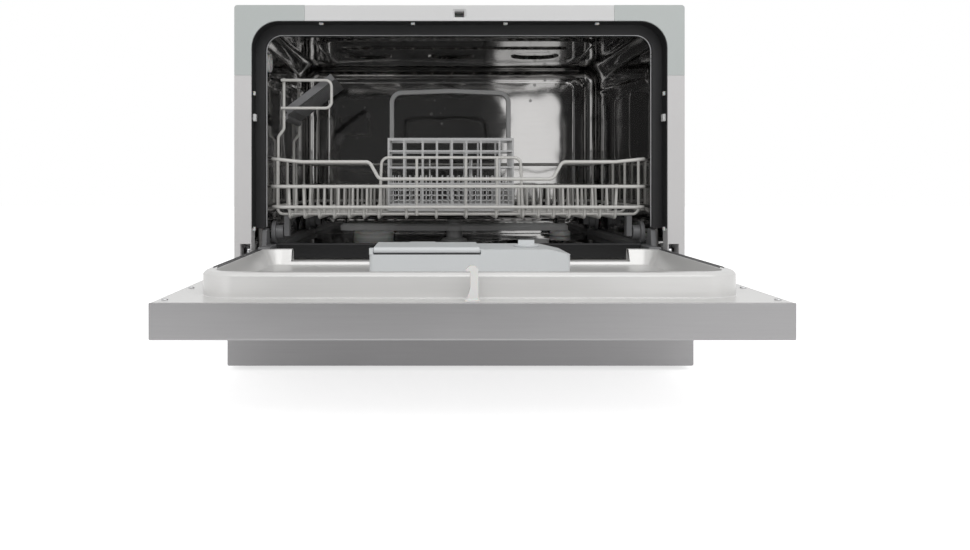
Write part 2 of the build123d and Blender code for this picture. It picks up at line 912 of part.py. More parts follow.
def make_spray_arm():
    with BuildPart() as arm:
        with BuildSketch(Plane(origin=(0, depth(arm_depth), arm_bottom))) as blades:
            for side in (-1, 1):
                with BuildLine():
                    Polyline(
                        (0, 17),
                        (side * (arm_length - 10), 12),
                        (side * arm_length, 5),
                        (side * arm_length, -5),
                        (side * (arm_length - 10), -11),
                        (0, -17),
                        close=True,
                    )
                make_face()
            Circle(hub_radius)
            Circle(post_radius + 0.1, mode=Mode.SUBTRACT)
        extrude(blades.sketch, amount=arm_thickness)
        chamfer(arm.faces().sort_by(Axis.Z)[-1].outer_wire().edges(), 3)
        with BuildSketch(Plane(origin=(0, depth(arm_depth), arm_bottom + arm_thickness))) as hub:
            Circle(hub_radius - 4)
            Circle(post_radius + 0.1, mode=Mode.SUBTRACT)
        extrude(hub.sketch, amount=2)
    save(arm, "spray_arm")


def make_wash_pump():
    with BuildPart() as pump:
        y = depth(filter_depth)
        drum((pump_x, y, pump_z), (1, 0, 0), 36, 40, sides=20)
        drum((pump_x - 78, y, pump_z), (1, 0, 0), 78, 32, sides=20)
        drum((pump_x - 84, y, pump_z), (1, 0, 0), 6, 12)
        drum((pump_x + 36, y, pump_z), (1, 0, 0), filter_x - sump_radius - 4 - pump_x - 36, 12)
        slab(pump_x - 74, pump_x - 24, y - 18, y + 18, tray_bottom + tray_wall + 8, pump_z - 28)
    save(pump, "wash_pump")


def make_drain_pump():
    start = filter_x + sump_radius + 4
    with BuildPart() as pump:
        y = depth(filter_depth)
        drum((start, y, pump_z), (1, 0, 0), 16, 22)
        drum((start + 16, y, pump_z), (1, 0, 0), 34, 17)
    save(pump, "drain_pump")


def make_heater():
    with BuildPart() as heater:
        y = depth(filter_depth) + 40
        drum((pump_x + 18, y, pump_z), (0, 1, 0), 110, 20)
        drum((pump_x + 18, y + 110, pump_z), (0, 1, 0), 8, 14)
    save(heater, "water_heater")


def make_softener():
    low = tray_bottom + tray_wall + 8
    top = tub_floor - sheet
    with BuildPart() as softener:
        with BuildSketch(Plane.XY.offset(low)) as body:
            with Locations((salt_x - 20, depth(salt_depth))):
                RectangleRounded(140, 130, 18)
        extrude(body.sketch, amount=top - low - 0.3)
        with Locations((salt_x, depth(salt_depth), (top - 1 + tub_floor + 5) / 2)):
            Cylinder(salt_radius - 0.5, tub_floor + 5 - top + 1)
        with Locations((salt_x, depth(salt_depth), tub_floor - 20)):
            Cylinder(salt_radius - 5, 60, mode=Mode.SUBTRACT)
    save(softener, "water_softener")


def make_salt_cap():
    seat = tub_floor + 5 + 0.3
    with BuildPart() as cap:
        y = depth(salt_depth)
        rod((salt_x, y, seat - 12), (0, 0, 1), 12, salt_radius - 5.6)
        drum((salt_x, y, seat), (0, 0, 1), 3, salt_radius, sides=24)
        bowl(salt_x, y, seat + 3, seat + 5, salt_radius, salt_radius - 3)
        with BuildSketch(Plane(origin=(salt_x, depth(salt_depth), seat + 5))) as grip:
            Rectangle(42, 7)
        extrude(grip.sketch, amount=4)
    save(cap, "salt_cap")


def make_float():
    with BuildPart() as dome:
        y = depth(float_depth)
        drum((float_x, y, tub_floor - 22), (0, 0, 1), 22.4, 4, sides=12)
        drum((float_x, y, tub_floor + 0.4), (0, 0, 1), 6, float_radius, sides=24)
        bowl(float_x, y, tub_floor + 6.4, tub_floor + 12.4, float_radius, float_radius - 9)
    save(dome, "float")


def make_float_switch():
    top = tub_floor - sheet
    with BuildPart() as switch:
        drum((float_x, depth(float_depth), top - 32), (0, 0, 1), 32, 12)
        drum((float_x, depth(float_depth), top - 32), (0, 0, 1), 32, 4.4, Mode.SUBTRACT, 12)
        slab(float_x + 11, float_x + 24, depth(float_depth) - 7, depth(float_depth) + 7, top - 30, top - 8)
    save(switch, "float_switch")


def make_inlet_valve():
    with BuildPart() as valve:
        low = tray_bottom + tray_wall
        front = cabinet_depth - valve_rear_gap - valve_body_depth
        with BuildSketch(Plane.XZ.offset(-depth(front))) as body:
            with Locations((valve_x, (low + valve_z + 16) / 2)):
                RectangleRounded(38, valve_z + 16 - low, 5)
        extrude(body.sketch, amount=-valve_body_depth)
        back = front + valve_body_depth
        rod((valve_x, depth(back), valve_z), (0, 1, 0), valve_thread, valve_radius)
        drum((valve_x, depth(back - 10), valve_z), (0, 1, 0), valve_thread + 11, 8.5, Mode.SUBTRACT, 12)
    save(valve, "inlet_valve")


def make_drain_outlet():
    with BuildPart() as outlet:
        back = cabinet_depth - sheet
        drum((drain_x, depth(back - 4), valve_z), (0, 1, 0), 4, drain_hole + 5)
        drum((drain_x, depth(back - 44), valve_z), (0, 1, 0), 44 + sheet - 0.2, drain_hole - 0.5)
        rod((drain_x, depth(back - 50), valve_z), (0, 1, 0), 60, 7.5, Mode.SUBTRACT)
    save(outlet, "drain_outlet")


def make_cable_gland():
    with BuildPart() as gland:
        back = cabinet_depth - sheet
        drum((gland_x, depth(back - 5), valve_z), (0, 1, 0), 5, gland_hole + 4)
        drum((gland_x, depth(back), valve_z), (0, 1, 0), sheet - 0.2, gland_hole - 0.3)
        drum((gland_x, depth(back - 6), valve_z), (0, 1, 0), 9, 4, Mode.SUBTRACT, 12)
    save(gland, "cable_gland")


# ======================= door =======================


def door_outline(wide, neck, low, high):
    """The open door's plan: a wide leaf with a narrower neck at the hinge end."""
    with BuildSketch(Plane.XY.offset(door_outer)) as plan:
        with BuildLine():
            Polyline(
                (-wide, door_y(high)),
                (wide, door_y(high)),
                (wide, door_y(door_neck_top)),
                (neck, door_y(door_neck_top)),
                (neck, door_y(low)),
                (-neck, door_y(low)),
                (-neck, door_y(door_neck_top)),
                (-wide, door_y(door_neck_top)),
                close=True,
            )
        make_face()
    return plan.sketch


def make_outer_panel():
    with BuildPart() as panel:
        leaf = door_outline(half, door_neck_half, door_bottom, door_top - control_height)
        extrude(leaf, amount=liner_back - door_outer)
        offset(amount=-door_sheet, openings=panel.faces().sort_by(Axis.Z)[-1])
    save(panel, "door_outer_panel")


def make_control_panel():
    front = door_y(door_top)
    back = door_y(door_top - control_height) - 0.2
    grip_y = (door_y(grip_low) + door_y(grip_high)) / 2
    grip_wide = abs(door_y(grip_low) - door_y(grip_high))
    with BuildPart() as panel:
        slab(-half, half, front, back, door_outer, liner_back)
        offset(amount=-door_wall, openings=panel.faces().sort_by(Axis.Z)[-1])
        slab(-half, half, front, front + door_wall, liner_back, door_face)
        chamfer(panel.edges().filter_by(Axis.X).group_by(Axis.Y)[0].group_by(Axis.Z)[0], 1.2)
        with BuildSketch(Plane.XY.offset(door_outer)) as well:
            with Locations((0, grip_y)):
                Rectangle(2 * grip_half + 2 * door_wall, grip_wide + 2 * door_wall)
        extrude(well.sketch, amount=grip_depth + door_wall)
        with BuildSketch(Plane.XY.offset(door_outer)) as mouth:
            with Locations((0, grip_y)):
                RectangleRounded(2 * grip_half, grip_wide, 6)
        extrude(mouth.sketch, amount=grip_depth, mode=Mode.SUBTRACT)
        with Locations((window_x, door_y(button_height), door_outer + door_wall / 2)):
            Box(window_wide, window_tall, door_wall, mode=Mode.SUBTRACT)
        with BuildSketch(Plane.XY.offset(door_outer)) as holes:
            for index in range(button_count):
                with Locations((button_first + index * button_pitch, door_y(button_height))):
                    RegularPolygon(button_radius + 0.35, 16)
        extrude(holes.sketch, amount=door_wall, mode=Mode.SUBTRACT)
        for x in (button_first - 13, button_first + (button_count - 1) * button_pitch + 13):
            for y in (door_y(button_height) - 12, door_y(button_height) + 12):
                drum((x, y, door_outer + door_wall), (0, 0, 1), board_rise - door_wall, 2.5, sides=8)
    save(panel, "control_panel")


def make_display_window():
    with BuildPart() as window:
        with Locations((window_x, door_y(button_height), door_outer + door_wall / 2 + 0.1)):
            Box(window_wide - 0.1, window_tall - 0.1, door_wall - 0.2)
        with Locations((window_x, door_y(button_height), door_outer + door_wall + 0.75)):
            Box(window_wide + 8, window_tall + 6, 1.5)
    save(window, "display_window")


def make_button(index):
    x = button_first + index * button_pitch
    y = door_y(button_height)
    with BuildPart() as button:
        drum((x, y, door_outer), (0, 0, 1), door_wall + 0.3, button_radius)
        drum((x, y, door_outer + door_wall + 0.3), (0, 0, 1), 1.7, button_radius + 1.6)
        stem = board_rise - door_wall - 2 - button_travel - seat_clear
        drum((x, y, door_outer + door_wall + 2), (0, 0, 1), stem, 2.2, sides=8)
    save(button, f"button_{index + 1}")


def make_control_board():
    left = button_first - 18
    right = button_first + (button_count - 1) * button_pitch + 18
    y = door_y(button_height)
    low = door_outer + board_rise
    with BuildPart() as board:
        slab(left, right, y - 16, y + 16, low, low + 1.6)
        slab(left + 10, left + 34, y - 9, y + 9, low + 1.6, low + 9)
        slab(right - 40, right - 12, y - 7, y + 7, low + 1.6, low + 7)
        for index in range(3):
            drum((left + 50 + 14 * index, y, low + 1.6), (0, 0, 1), 10, 4.5, sides=10)
    save(board, "control_board")


def make_liner():
    inner_low = rim_half - rim_flat
    end_y = door_y(rim_start)
    near = door_y(rim_end)
    pan_low = inner_low - pan_slope

    def pan(half_wide, height_z, near_gap, radius):
        with BuildSketch(Plane.XY.offset(height_z)) as sketch:
            with Locations((0, (near + near_gap + end_y - near_gap) / 2)):
                RectangleRounded(2 * half_wide, end_y - near - 2 * near_gap, radius)
        return sketch.sketch

    with BuildPart() as liner:
        extrude(
            door_outline(half - 0.8, door_neck_half - 0.8, door_bottom + 1, door_top - 2.7).moved(
                Location((0, 0, liner_back - door_outer))
            ),
            amount=liner_sheet,
        )
        extrude(pan(rim_half, liner_back, 0, rim_radius), amount=rim_z - liner_back)
        crest = liner.faces().filter_by(GeomType.PLANE).sort_by(Axis.Z)[-1]
        chamfer(crest.edges(), 3)
        extrude(
            pan(rim_half - liner_sheet, liner_back - 0.5, liner_sheet, rim_radius - liner_sheet),
            amount=rim_z - liner_sheet - liner_back + 0.5,
            mode=Mode.SUBTRACT,
        )
        loft(
            [
                pan(
                    pan_low + liner_sheet,
                    pan_z - liner_sheet,
                    rim_flat + pan_slope - liner_sheet,
                    14,
                ).faces()[0],
                pan(inner_low + liner_sheet, rim_z - 0.4, rim_flat - liner_sheet, 24).faces()[0],
            ],
            ruled=True,
        )
        loft(
            [
                pan(pan_low, pan_z, rim_flat + pan_slope, 13).faces()[0],
                pan(inner_low, rim_z + 0.2, rim_flat, 22).faces()[0],
            ],
            ruled=True,
            mode=Mode.SUBTRACT,
        )
        slab(
            -spill_half,
            spill_half,
            end_y - rim_flat - pan_slope + 1,
            end_y + 1,
            pan_z + 4,
            rim_z + 1,
            Mode.SUBTRACT,
        )
        slab(-spill_half, spill_half, end_y - rim_flat - 3, end_y, pan_z + 2.5, pan_z + 4)
        slab(
            dispenser_left - 0.3,
            dispenser_right + 0.3,
            door_y(dispenser_high) - 0.3,
            door_y(dispenser_low) + 0.3,
            liner_back,
            pan_z + 1,
            Mode.SUBTRACT,
        )
        for side in (-1, 1):
            slab(
                side * (bracket_x + 3.7),
                side * (slot_outer - 2),
                pivot_y - 34,
                pivot_y - 7,
                liner_back,
                door_face,
                Mode.SUBTRACT,
            )
    save(liner, "door_liner")


def make_hinge_arms():
    with BuildPart() as arms:
        for side in (-1, 1):
            with BuildSketch(Plane.YZ.offset(side * arm_x)) as plate:
                with Locations((pivot_y, pivot_height)):
                    Circle(6.8)
                with BuildLine():
                    Polyline(
                        (pivot_y + 3, pivot_height + 6),
                        (pivot_y - 14, pivot_height - 4.6),
                        (pivot_y - 32, liner_back - 2),
                        (pivot_y - 96, liner_back - 6),
                        (pivot_y - 96, door_outer + door_sheet),
                        (pivot_y - 46, door_outer + door_sheet),
                        (pivot_y - 12, liner_back - 4),
                        (pivot_y - 9, door_face + 0.4),
                        (pivot_y - 1, pivot_height - 6.7),
                        close=True,
                    )
                make_face()
                with Locations((pivot_y, pivot_height)):
                    Circle(pin_radius + run_clear, mode=Mode.SUBTRACT)
            extrude(plate.sketch, amount=side * arm_plate)
            slab(
                side * (arm_x - 10),
                side * (arm_x + arm_plate),
                pivot_y - 96,
                pivot_y - 46,
                door_outer + door_sheet,
                door_outer + door_sheet + 2,
            )
    save(arms, "hinge_arms")


def make_latch_hook():
    y = door_y(lock_height)
    with BuildPart() as hook:
        slab(-6.5, 6.5, y - 4, y + 4, door_face, door_face + 2)
        with BuildSketch(Plane.XZ.offset(-y - 2.3)):
            with BuildLine():
                Polyline(
                    (-4.5, door_face + 2),
                    (5.5, door_face + 2),
                    (5.5, hook_top - 3),
                    (2.5, hook_top),
                    (-2, hook_top),
                    (-5.3, hook_top - 3),
                    (-5.3, hook_top - 5),
                    (-1.5, hook_top - 5),
                    (-1.5, door_face + 12),
                    close=True,
                )
            make_face()
        extrude(amount=4.6)
    save(hook, "latch_hook")


# ======================= dispenser =======================


def make_dispenser():
    near = door_y(dispenser_high)
    far = door_y(dispenser_low)
    with BuildPart() as body:
        slab(dispenser_left, dispenser_right, near, far, door_face - dispenser_sink, deck_z)
        fillet(body.edges().filter_by(Axis.Z), 5)
        with BuildSketch(Plane.XZ.offset(-near)) as housing:
            with BuildLine():
                Polyline(
                    (lid_right + 1, deck_z),
                    (lid_right + 1, housing_z),
                    (dispenser_right - 22, housing_z),
                    (dispenser_right, housing_z - 5),
                    (dispenser_right, deck_z),
                    close=True,
                )
            make_face()
        extrude(housing.sketch, amount=-(far - near))
        slab(dispenser_left, dispenser_left + 4, near, near + 10, deck_z, housing_z + 1)
        slab(
            dispenser_left + 10,
            lid_right - 10,
            near + 12,
            far - 18,
            deck_z - cup_depth,
            deck_z + 1,
            Mode.SUBTRACT,
        )
        axis_y = near + lid_axis_in
        bore = hinge_rod + run_clear
        rod((dispenser_left + 1.5, axis_y, lid_axis_z), (1, 0, 0), 30, bore, Mode.SUBTRACT)
        rod((lid_right, axis_y, lid_axis_z), (1, 0, 0), 8, bore, Mode.SUBTRACT)
        rod((cap_x, (near + far) / 2, housing_z - 8), (0, 0, 1), 12, cap_plug + 0.3, Mode.SUBTRACT)
    save(body, "dispenser_body")


def make_detergent_lid():
    near = door_y(dispenser_high)
    far = door_y(dispenser_low)
    left = dispenser_left + 4.5
    radius = lid_thickness / 2
    with BuildPart() as lid:
        with BuildSketch(Plane.YZ.offset(left)):
            with BuildLine():
                Line((near + lid_axis_in, lid_axis_z + radius), (far - 9.6, lid_axis_z + radius))
                Line((far - 9.6, lid_axis_z + radius), (far - 9.6, lid_axis_z - radius))
                Line((far - 9.6, lid_axis_z - radius), (near + lid_axis_in, lid_axis_z - radius))
                ThreePointArc(
                    (near + lid_axis_in, lid_axis_z - radius),
                    (near + lid_axis_in - radius, lid_axis_z),
                    (near + lid_axis_in, lid_axis_z + radius),
                )
            make_face()
        extrude(amount=lid_right - left)
        rod((left - 2.6, near + lid_axis_in, lid_axis_z), (1, 0, 0), lid_right - left + 7, hinge_rod)
        with GridLocations(7, 5, 3, 2) as grid:
            spots = [spot.position for spot in grid]
        for spot in spots:
            vent = (vent_x + spot.X, (near + far) / 2 + 8 + spot.Y, lid_axis_z)
            drum(vent, (0, 0, 1), 8, 1.2, Mode.SUBTRACT, 6)
    save(lid, "detergent_lid")


def make_lid_latch():
    far = door_y(dispenser_low)
    with BuildPart() as latch:
        slab(-58, -30, far - 9.2, far - 3, deck_z + 0.3, lid_axis_z + lid_thickness / 2)
        fillet(latch.edges().filter_by(Axis.Z), 2)
    save(latch, "lid_latch")


def make_rinse_cap():
    middle = (door_y(dispenser_high) + door_y(dispenser_low)) / 2
    with BuildPart() as cap:
        rod((cap_x, middle, housing_z - 7.6), (0, 0, 1), 8, cap_plug)
        drum((cap_x, middle, housing_z + 0.3), (0, 0, 1), 1.8, cap_plug + 2.5, sides=24)
        with BuildSketch(Plane(origin=(cap_x, middle, housing_z + 2.1))) as tab:
            Rectangle(17, 3)
        extrude(tab.sketch, amount=4.6)
    save(cap, "rinse_aid_cap")


# ======================= rack =======================


def side_wires(side):
    """X of the lengthwise floor wires on one side, from left to right."""
    first = left_first if side < 0 else right_first
    last = left_last if side < 0 else right_last
    pitch = (last - first) / (wires_per_side - 1)
    return [first + index * pitch for index in range(wires_per_side)]


def front_lean(z):
    """Depth of the leaning front wires' middle at a height."""
    return rack_front + rail + wire + weld_gap + (mid_rail_z - z) * lean


def make_floor_wires():
    middle_wires = [middle_first + index * middle_pitch for index in range(middle_count)]
    with BuildPart() as floor:
        for x in side_wires(-1) + middle_wires + side_wires(1):
            outer = abs(x) > outer_wire_from
            top = mid_rail_z + 3 if outer else low_rail_z + 3
            bent_wire(
                [
                    (x, depth(front_lean(top)), top),
                    (x, depth(front_lean(floor_wire_z + 5)), floor_wire_z + 5),
                    (x, depth(front_lean(floor_wire_z) + 5), floor_wire_z),
                    (x, depth(rack_back - 11), floor_wire_z),
                    (x, depth(rack_back - rail - wire), floor_wire_z + 7),
                    (x, depth(rack_back - rail - wire), mid_rail_z + 3),
                ],
                wire,
                (1, 0, 0),
            )
    save(floor, "rack_floor_wires")


def make_cross_wires():
    wall = rack_half - rail - wire
    with BuildPart() as cross:
        for distance in cross_depths:
            y = depth(distance)
            bent_wire(
                [
                    (-wall, y, top_rail_z + rail_rise + 2),
                    (-wall, y, cross_wire_z + 9),
                    (-wall + 9, y, cross_wire_z),
                    (wall - 9, y, cross_wire_z),
                    (wall, y, cross_wire_z + 9),
                    (wall, y, top_rail_z + rail_rise + 2),
                ],
                wire,
                (0, 1, 0),
            )
        shelf_posts()
    save(cross, "rack_cross_wires")


def level_rail(z):
    """A level rail all round the rack, its two ends butted at the back."""
    front = depth(rack_front + (mid_rail_z - z) * lean)
    back = depth(rack_back)
    round_wire(
        [
            (butt_gap, back, z),
            (rack_half, back, z),
            (rack_half, front, z),
            (-rack_half, front, z),
            (-rack_half, back, z),
            (-butt_gap, back, z),
        ],
        rack_corner,
        rail,
        (0, 0, 1),
    )


def top_rail():
    """The top rail drops in the middle of the front to clear the dispenser."""
    high = top_rail_z + rail_rise
    front = depth(rack_front)
    back = depth(rack_back)
    round_wire(
        [
            (butt_gap, back, high),
            (rack_half, back, high),
            (rack_half, front, high),
            (rack_half - 40, front, top_rail_z),
            (dip_right + dip_run, front, top_rail_z),
            (dip_right, front, dip_z),
            (dip_left, front, dip_z),
            (dip_left - dip_run, front, top_rail_z),
            (-rack_half + 40, front, top_rail_z),
            (-rack_half, front, high),
            (-rack_half, back, high),
            (-butt_gap, back, high),
        ],
        [rack_corner, rack_corner, 30, 8, 8, 8, 8, 30, rack_corner, rack_corner],
        rail,
        (0, 0, 1),
    )


def make_rails():
    with BuildPart() as rails:
        level_rail(low_rail_z)
        level_rail(mid_rail_z)
        top_rail()
    save(rails, "rack_rails")


def make_fence():
    """The wire loop that holds the cutlery basket, with its three uprights."""
    y = depth(cross_depths[0] - 2 * wire - weld_gap)
    foot = cross_wire_z - wire + weld_gap
    with BuildPart() as fence:
        round_wire(
            [
                (fence_left, y, foot),
                (fence_left + 3, y, fence_top),
                (fence_right - 3, y, fence_top),
                (fence_right, y, foot),
            ],
            9,
            wire,
            (0, 1, 0),
        )
        for x in (fence_post_left, fence_post_middle, fence_post_right):
            bent_wire([(x, y, foot), (x, y, fence_top)], wire, (0, 1, 0))
    save(fence, "rack_fence")


def make_tines():
    with BuildPart() as tines:
        for side in (-1, 1):
            for x in side_wires(side):
                for distance in tine_depths:
                    y = depth(distance)
                    foot = floor_wire_z + wire + 0.3
                    bent_wire(
                        [
                            (x, y - tine_foot / 2, foot),
                            (x, y - 1.6, foot + tine_height),
                            (x, y + 1.6, foot + tine_height),
                            (x, y + tine_foot / 2, foot),
                        ],
                        wire - 0.3,
                        (1, 0, 0),
                    )
    save(tines, "rack_tines")


def shelf_posts():
    """Two uprights at the left, the rod the cup shelf turns on, and the loop in front of it."""
    wall = rack_half - rail - wire
    front = depth(shelf_front)
    for place in (front, front + shelf_reach):
        round_wire(
            [
                (-wall, place, cross_wire_z + 6),
                (-wall, place, shelf_axis_z - 26),
                (shelf_axis_x, place, shelf_axis_z - 16),
                (shelf_axis_x, place, shelf_high + 3),
            ],
            6,
            wire,
            (0, 1, 0),
        )
    rod((shelf_axis_x, front + wire, shelf_axis_z), (0, 1, 0), shelf_reach - 2 * wire, shelf_rod)
    round_wire(
        [
            (shelf_axis_x - 3, front - 2 * wire, shelf_high),
            (shelf_right, front - 2 * wire, shelf_high),
            (shelf_right, front - 2 * wire, shelf_low),
            (shelf_axis_x - 3, front - 2 * wire, shelf_low),
        ],
        7,
        wire,
        (0, 1, 0),
    )


def make_cup_shelf():
    """A slotted plastic tray that turns on the side rod and lies tilted on it."""
    turn = math.radians(shelf_tilt)
    start = depth(shelf_front) + wire + 1.5
    reach = shelf_reach - 2 * wire - 3
    tray_plane = Plane(
        origin=(shelf_axis_x, start, shelf_axis_z),
        x_dir=(math.cos(turn), 0, math.sin(turn)),
        z_dir=(-math.sin(turn), 0, math.cos(turn)),
    )
    with BuildPart() as shelf:
        with BuildSketch(tray_plane) as plate:
            with Locations(((shelf_width + 3) / 2, reach / 2)):
                Rectangle(shelf_width - 3, reach)
        extrude(plate.sketch, amount=2.4)
        with BuildSketch(tray_plane) as lips:
            with Locations(((shelf_width + 6) / 2, reach / 2)):
                Rectangle(shelf_width - 6, reach)
                Rectangle(shelf_width - 12, reach - 6, mode=Mode.SUBTRACT)
        extrude(lips.sketch, amount=9)
        with BuildSketch(tray_plane.offset(-1)) as slots:
            with Locations(((shelf_width + 6) / 2, reach / 2)):
                with GridLocations(1, shelf_slot_pitch, 1, shelf_slots):
                    Rectangle(shelf_width - 22, 4)
        extrude(slots.sketch, amount=5, mode=Mode.SUBTRACT)
        rod((shelf_axis_x, start, shelf_axis_z), (0, 1, 0), reach, shelf_rod + 2.6)
        bore = shelf_rod + run_clear
        rod((shelf_axis_x, start - 1, shelf_axis_z), (0, 1, 0), reach + 2, bore, Mode.SUBTRACT)
    save(shelf, "cup_shelf")


def make_axles():
    """Four stub axles in clips that hang from the rack's lowest side wires."""
    with BuildPart() as axles:
        for side in (-1, 1):
            for distance in (wheel_front_depth, wheel_back_depth):
                inner = side * (wheel_outer - wheel_rim - wheel_hub - 8)
                length = wheel_rim + wheel_hub + 8.6
                rod((inner, depth(distance), wheel_z), (side, 0, 0), length, axle_radius)
                slab(
                    inner,
                    inner + side * 7,
                    depth(distance) - 6,
                    depth(distance) + 6,
                    wheel_z - 5,
                    cross_wire_z - wire,
                )
    save(axles, "wheel_axles")


def make_wheel(side, distance, name):
    start = side * (wheel_outer - wheel_rim - wheel_hub)
    with BuildPart() as wheel:
        centre = (start, depth(distance), wheel_z)
        drum(centre, (side, 0, 0), wheel_hub, wheel_hub_radius, sides=20)
        tread = (start + side * wheel_hub, depth(distance), wheel_z)
        drum(tread, (side, 0, 0), wheel_rim, wheel_radius, sides=28)
        rod(centre, (side, 0, 0), wheel_hub + wheel_rim, axle_radius + run_clear, Mode.SUBTRACT)
    save(wheel, name)


# ======================= cutlery basket =======================


def make_basket():
    middle_x = (basket_left + basket_right) / 2
    middle_y = depth((basket_front + basket_back) / 2)
    long = basket_right - basket_left
    short = basket_back - basket_front
    tall = basket_rim - basket_foot
    with BuildPart() as basket:
        with BuildSketch(Plane(origin=(middle_x, middle_y, basket_foot))) as outline:
            Rectangle(long, short)
            chamfer(outline.vertices(), 5)
        extrude(outline.sketch, amount=tall)
        with BuildSketch(Plane(origin=(middle_x, middle_y, basket_foot + basket_wall))) as inside:
            Rectangle(long - 2 * basket_wall, short - 2 * basket_wall)
            chamfer(inside.vertices(), 4)
        extrude(inside.sketch, amount=tall, mode=Mode.SUBTRACT)
        with BuildSketch(Plane.XZ.offset(-depth(basket_front) + 1)) as windows:
            with Locations((middle_x, basket_foot + tall * 0.48)):
                with GridLocations(cell_x, cell_z, cell_count_across, cell_count_up):
                    Rectangle(cell_x - basket_bar, cell_z - basket_bar)
        extrude(windows.sketch, amount=-short - 2, mode=Mode.SUBTRACT)
        with BuildSketch(Plane(origin=(middle_x, middle_y, basket_foot + basket_wall))) as partitions:
            for index in (-1, 1):
                with Locations((index * long / 6, 0)):
                    Rectangle(basket_wall, short - basket_wall)
        extrude(partitions.sketch, amount=tall - 22)
    save(basket, "cutlery_basket")


def make_handle():
    left = basket_left + 4
    right = basket_right - 4
    y = depth((basket_front + basket_back) / 2)
    with BuildPart() as handle:
        with BuildLine() as route:
            FilletPolyline(
                (left, y, basket_rim),
                (left, y, handle_top - 6),
                ((left + right) / 2, y, handle_top - handle_wide / 2),
                (right, y, handle_top - 6),
                (right, y, basket_rim),
                radius=[14, 90, 14],
            )
        with BuildSketch(Plane(origin=(left, y, basket_rim), z_dir=(0, 0, 1))) as section:
            Rectangle(handle_wide, 8)
        sweep(section.sketch, path=route.line)
    save(handle, "basket_handle")


make_top_panel()
make_side_panels()
make_back_panel()
make_base_tray()
make_plinth()
make_feet()
make_top_bar()
make_corners()
make_side_trims()
make_hinge_brackets()
make_lock_body()
make_lock_pawl()
make_tub()
make_air_break()
make_door_seal()
make_lip_seal()
make_rack_guides()
make_sump()
make_filter_plate()
make_filter_cup()
make_spray_post()
make_spray_arm()
make_wash_pump()
make_drain_pump()
make_heater()
make_softener()
make_salt_cap()
make_float()
make_float_switch()
make_inlet_valve()
make_drain_outlet()
make_cable_gland()
make_outer_panel()
make_control_panel()
make_display_window()
for number in range(button_count):
    make_button(number)
make_control_board()
make_liner()
make_hinge_arms()
make_latch_hook()
make_dispenser()
make_detergent_lid()
make_lid_latch()
make_rinse_cap()
make_floor_wires()
make_cross_wires()
make_rails()
make_fence()
make_tines()
make_cup_shelf()
make_axles()
make_wheel(-1, wheel_front_depth, "wheel_front_left")
make_wheel(1, wheel_front_depth, "wheel_front_right")
make_wheel(-1, wheel_back_depth, "wheel_rear_left")
make_wheel(1, wheel_back_depth, "wheel_rear_right")
make_basket()
make_handle()
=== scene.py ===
import json
import math

import bmesh
import bpy
from bpy.props import FloatProperty, FloatVectorProperty, IntProperty, PointerProperty
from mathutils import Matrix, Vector


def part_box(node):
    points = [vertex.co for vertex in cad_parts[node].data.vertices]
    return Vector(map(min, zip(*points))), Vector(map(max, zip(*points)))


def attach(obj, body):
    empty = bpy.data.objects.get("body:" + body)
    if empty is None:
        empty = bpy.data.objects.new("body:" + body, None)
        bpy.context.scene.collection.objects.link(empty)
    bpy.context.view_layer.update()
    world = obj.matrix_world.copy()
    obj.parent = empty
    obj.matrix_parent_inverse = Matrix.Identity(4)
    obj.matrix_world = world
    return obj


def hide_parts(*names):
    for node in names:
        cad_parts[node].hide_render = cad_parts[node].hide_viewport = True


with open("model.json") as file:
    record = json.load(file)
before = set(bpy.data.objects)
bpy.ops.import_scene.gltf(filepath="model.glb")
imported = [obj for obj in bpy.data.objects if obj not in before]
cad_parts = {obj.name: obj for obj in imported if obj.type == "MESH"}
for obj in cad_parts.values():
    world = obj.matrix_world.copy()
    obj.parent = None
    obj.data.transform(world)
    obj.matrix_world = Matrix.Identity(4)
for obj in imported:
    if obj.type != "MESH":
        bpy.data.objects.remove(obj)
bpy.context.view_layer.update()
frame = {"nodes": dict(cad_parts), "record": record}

bl_info = {
    "name": "Countertop Dishwasher",
    "version": (1, 0, 0),
    "blender": (4, 5, 0),
    "location": "3D View > Sidebar > Dishwasher",
    "description": "Dresses the packed frame of a countertop dishwasher with its door open",
    "category": "Object",
}

RECORD = frame["record"]
BODY_OF = {node: body for body, nodes in RECORD["behaviour"]["bodies"].items() for node in nodes}
SLOT_OF = {row["node"]: row["material_slot"] for row in RECORD["subparts"]}
MM = 0.001
# The front frame's face and half the width of the cabinet, both read from the frame.
FRONT_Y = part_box("front_top_bar")[0][1] / MM
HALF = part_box("top_panel")[1][0] / MM
# The rear sheet's outer face is drawn this much further in, so that the screw heads stay inside the box.
BACK_SKIN = 0.5


# ---- settings


def a_colour(name, about, value):
    """A colour for the panel."""
    return FloatVectorProperty(name=name, description=about, subtype="COLOR", size=3, min=0, max=1,
                               default=value)


def a_number(name, about, low, high, value, unit="NONE"):
    """A number, a length or a power for the panel."""
    return FloatProperty(name=name, description=about, unit=unit, min=low, max=high, default=value)


def a_length(name, about, low, high, value):
    """A length in metres for the panel."""
    return a_number(name, about, low, high, value, "LENGTH")


class CasingSettings(bpy.types.PropertyGroup):
    """Paint and edges of the casing, the front frame and the door."""

    casing: a_colour("Casing", "Paint of the outer sheets", (0.60, 0.60, 0.60))
    top_bar: a_colour("Top bar", "Plastic of the bar above the mouth", (0.68, 0.68, 0.68))
    corners: a_colour("Corners", "Plastic of the two corner pieces", (0.50, 0.53, 0.52))
    side_bars: a_colour("Side bars", "Plastic of the two upright bars", (0.63, 0.62, 0.62))
    door: a_colour("Door", "Silver finish of the door and the plinth", (0.36, 0.355, 0.36))
    edge: a_length("Edge", "Width of the rounding on the casing's edges", 0, 0.003, 0.0006)


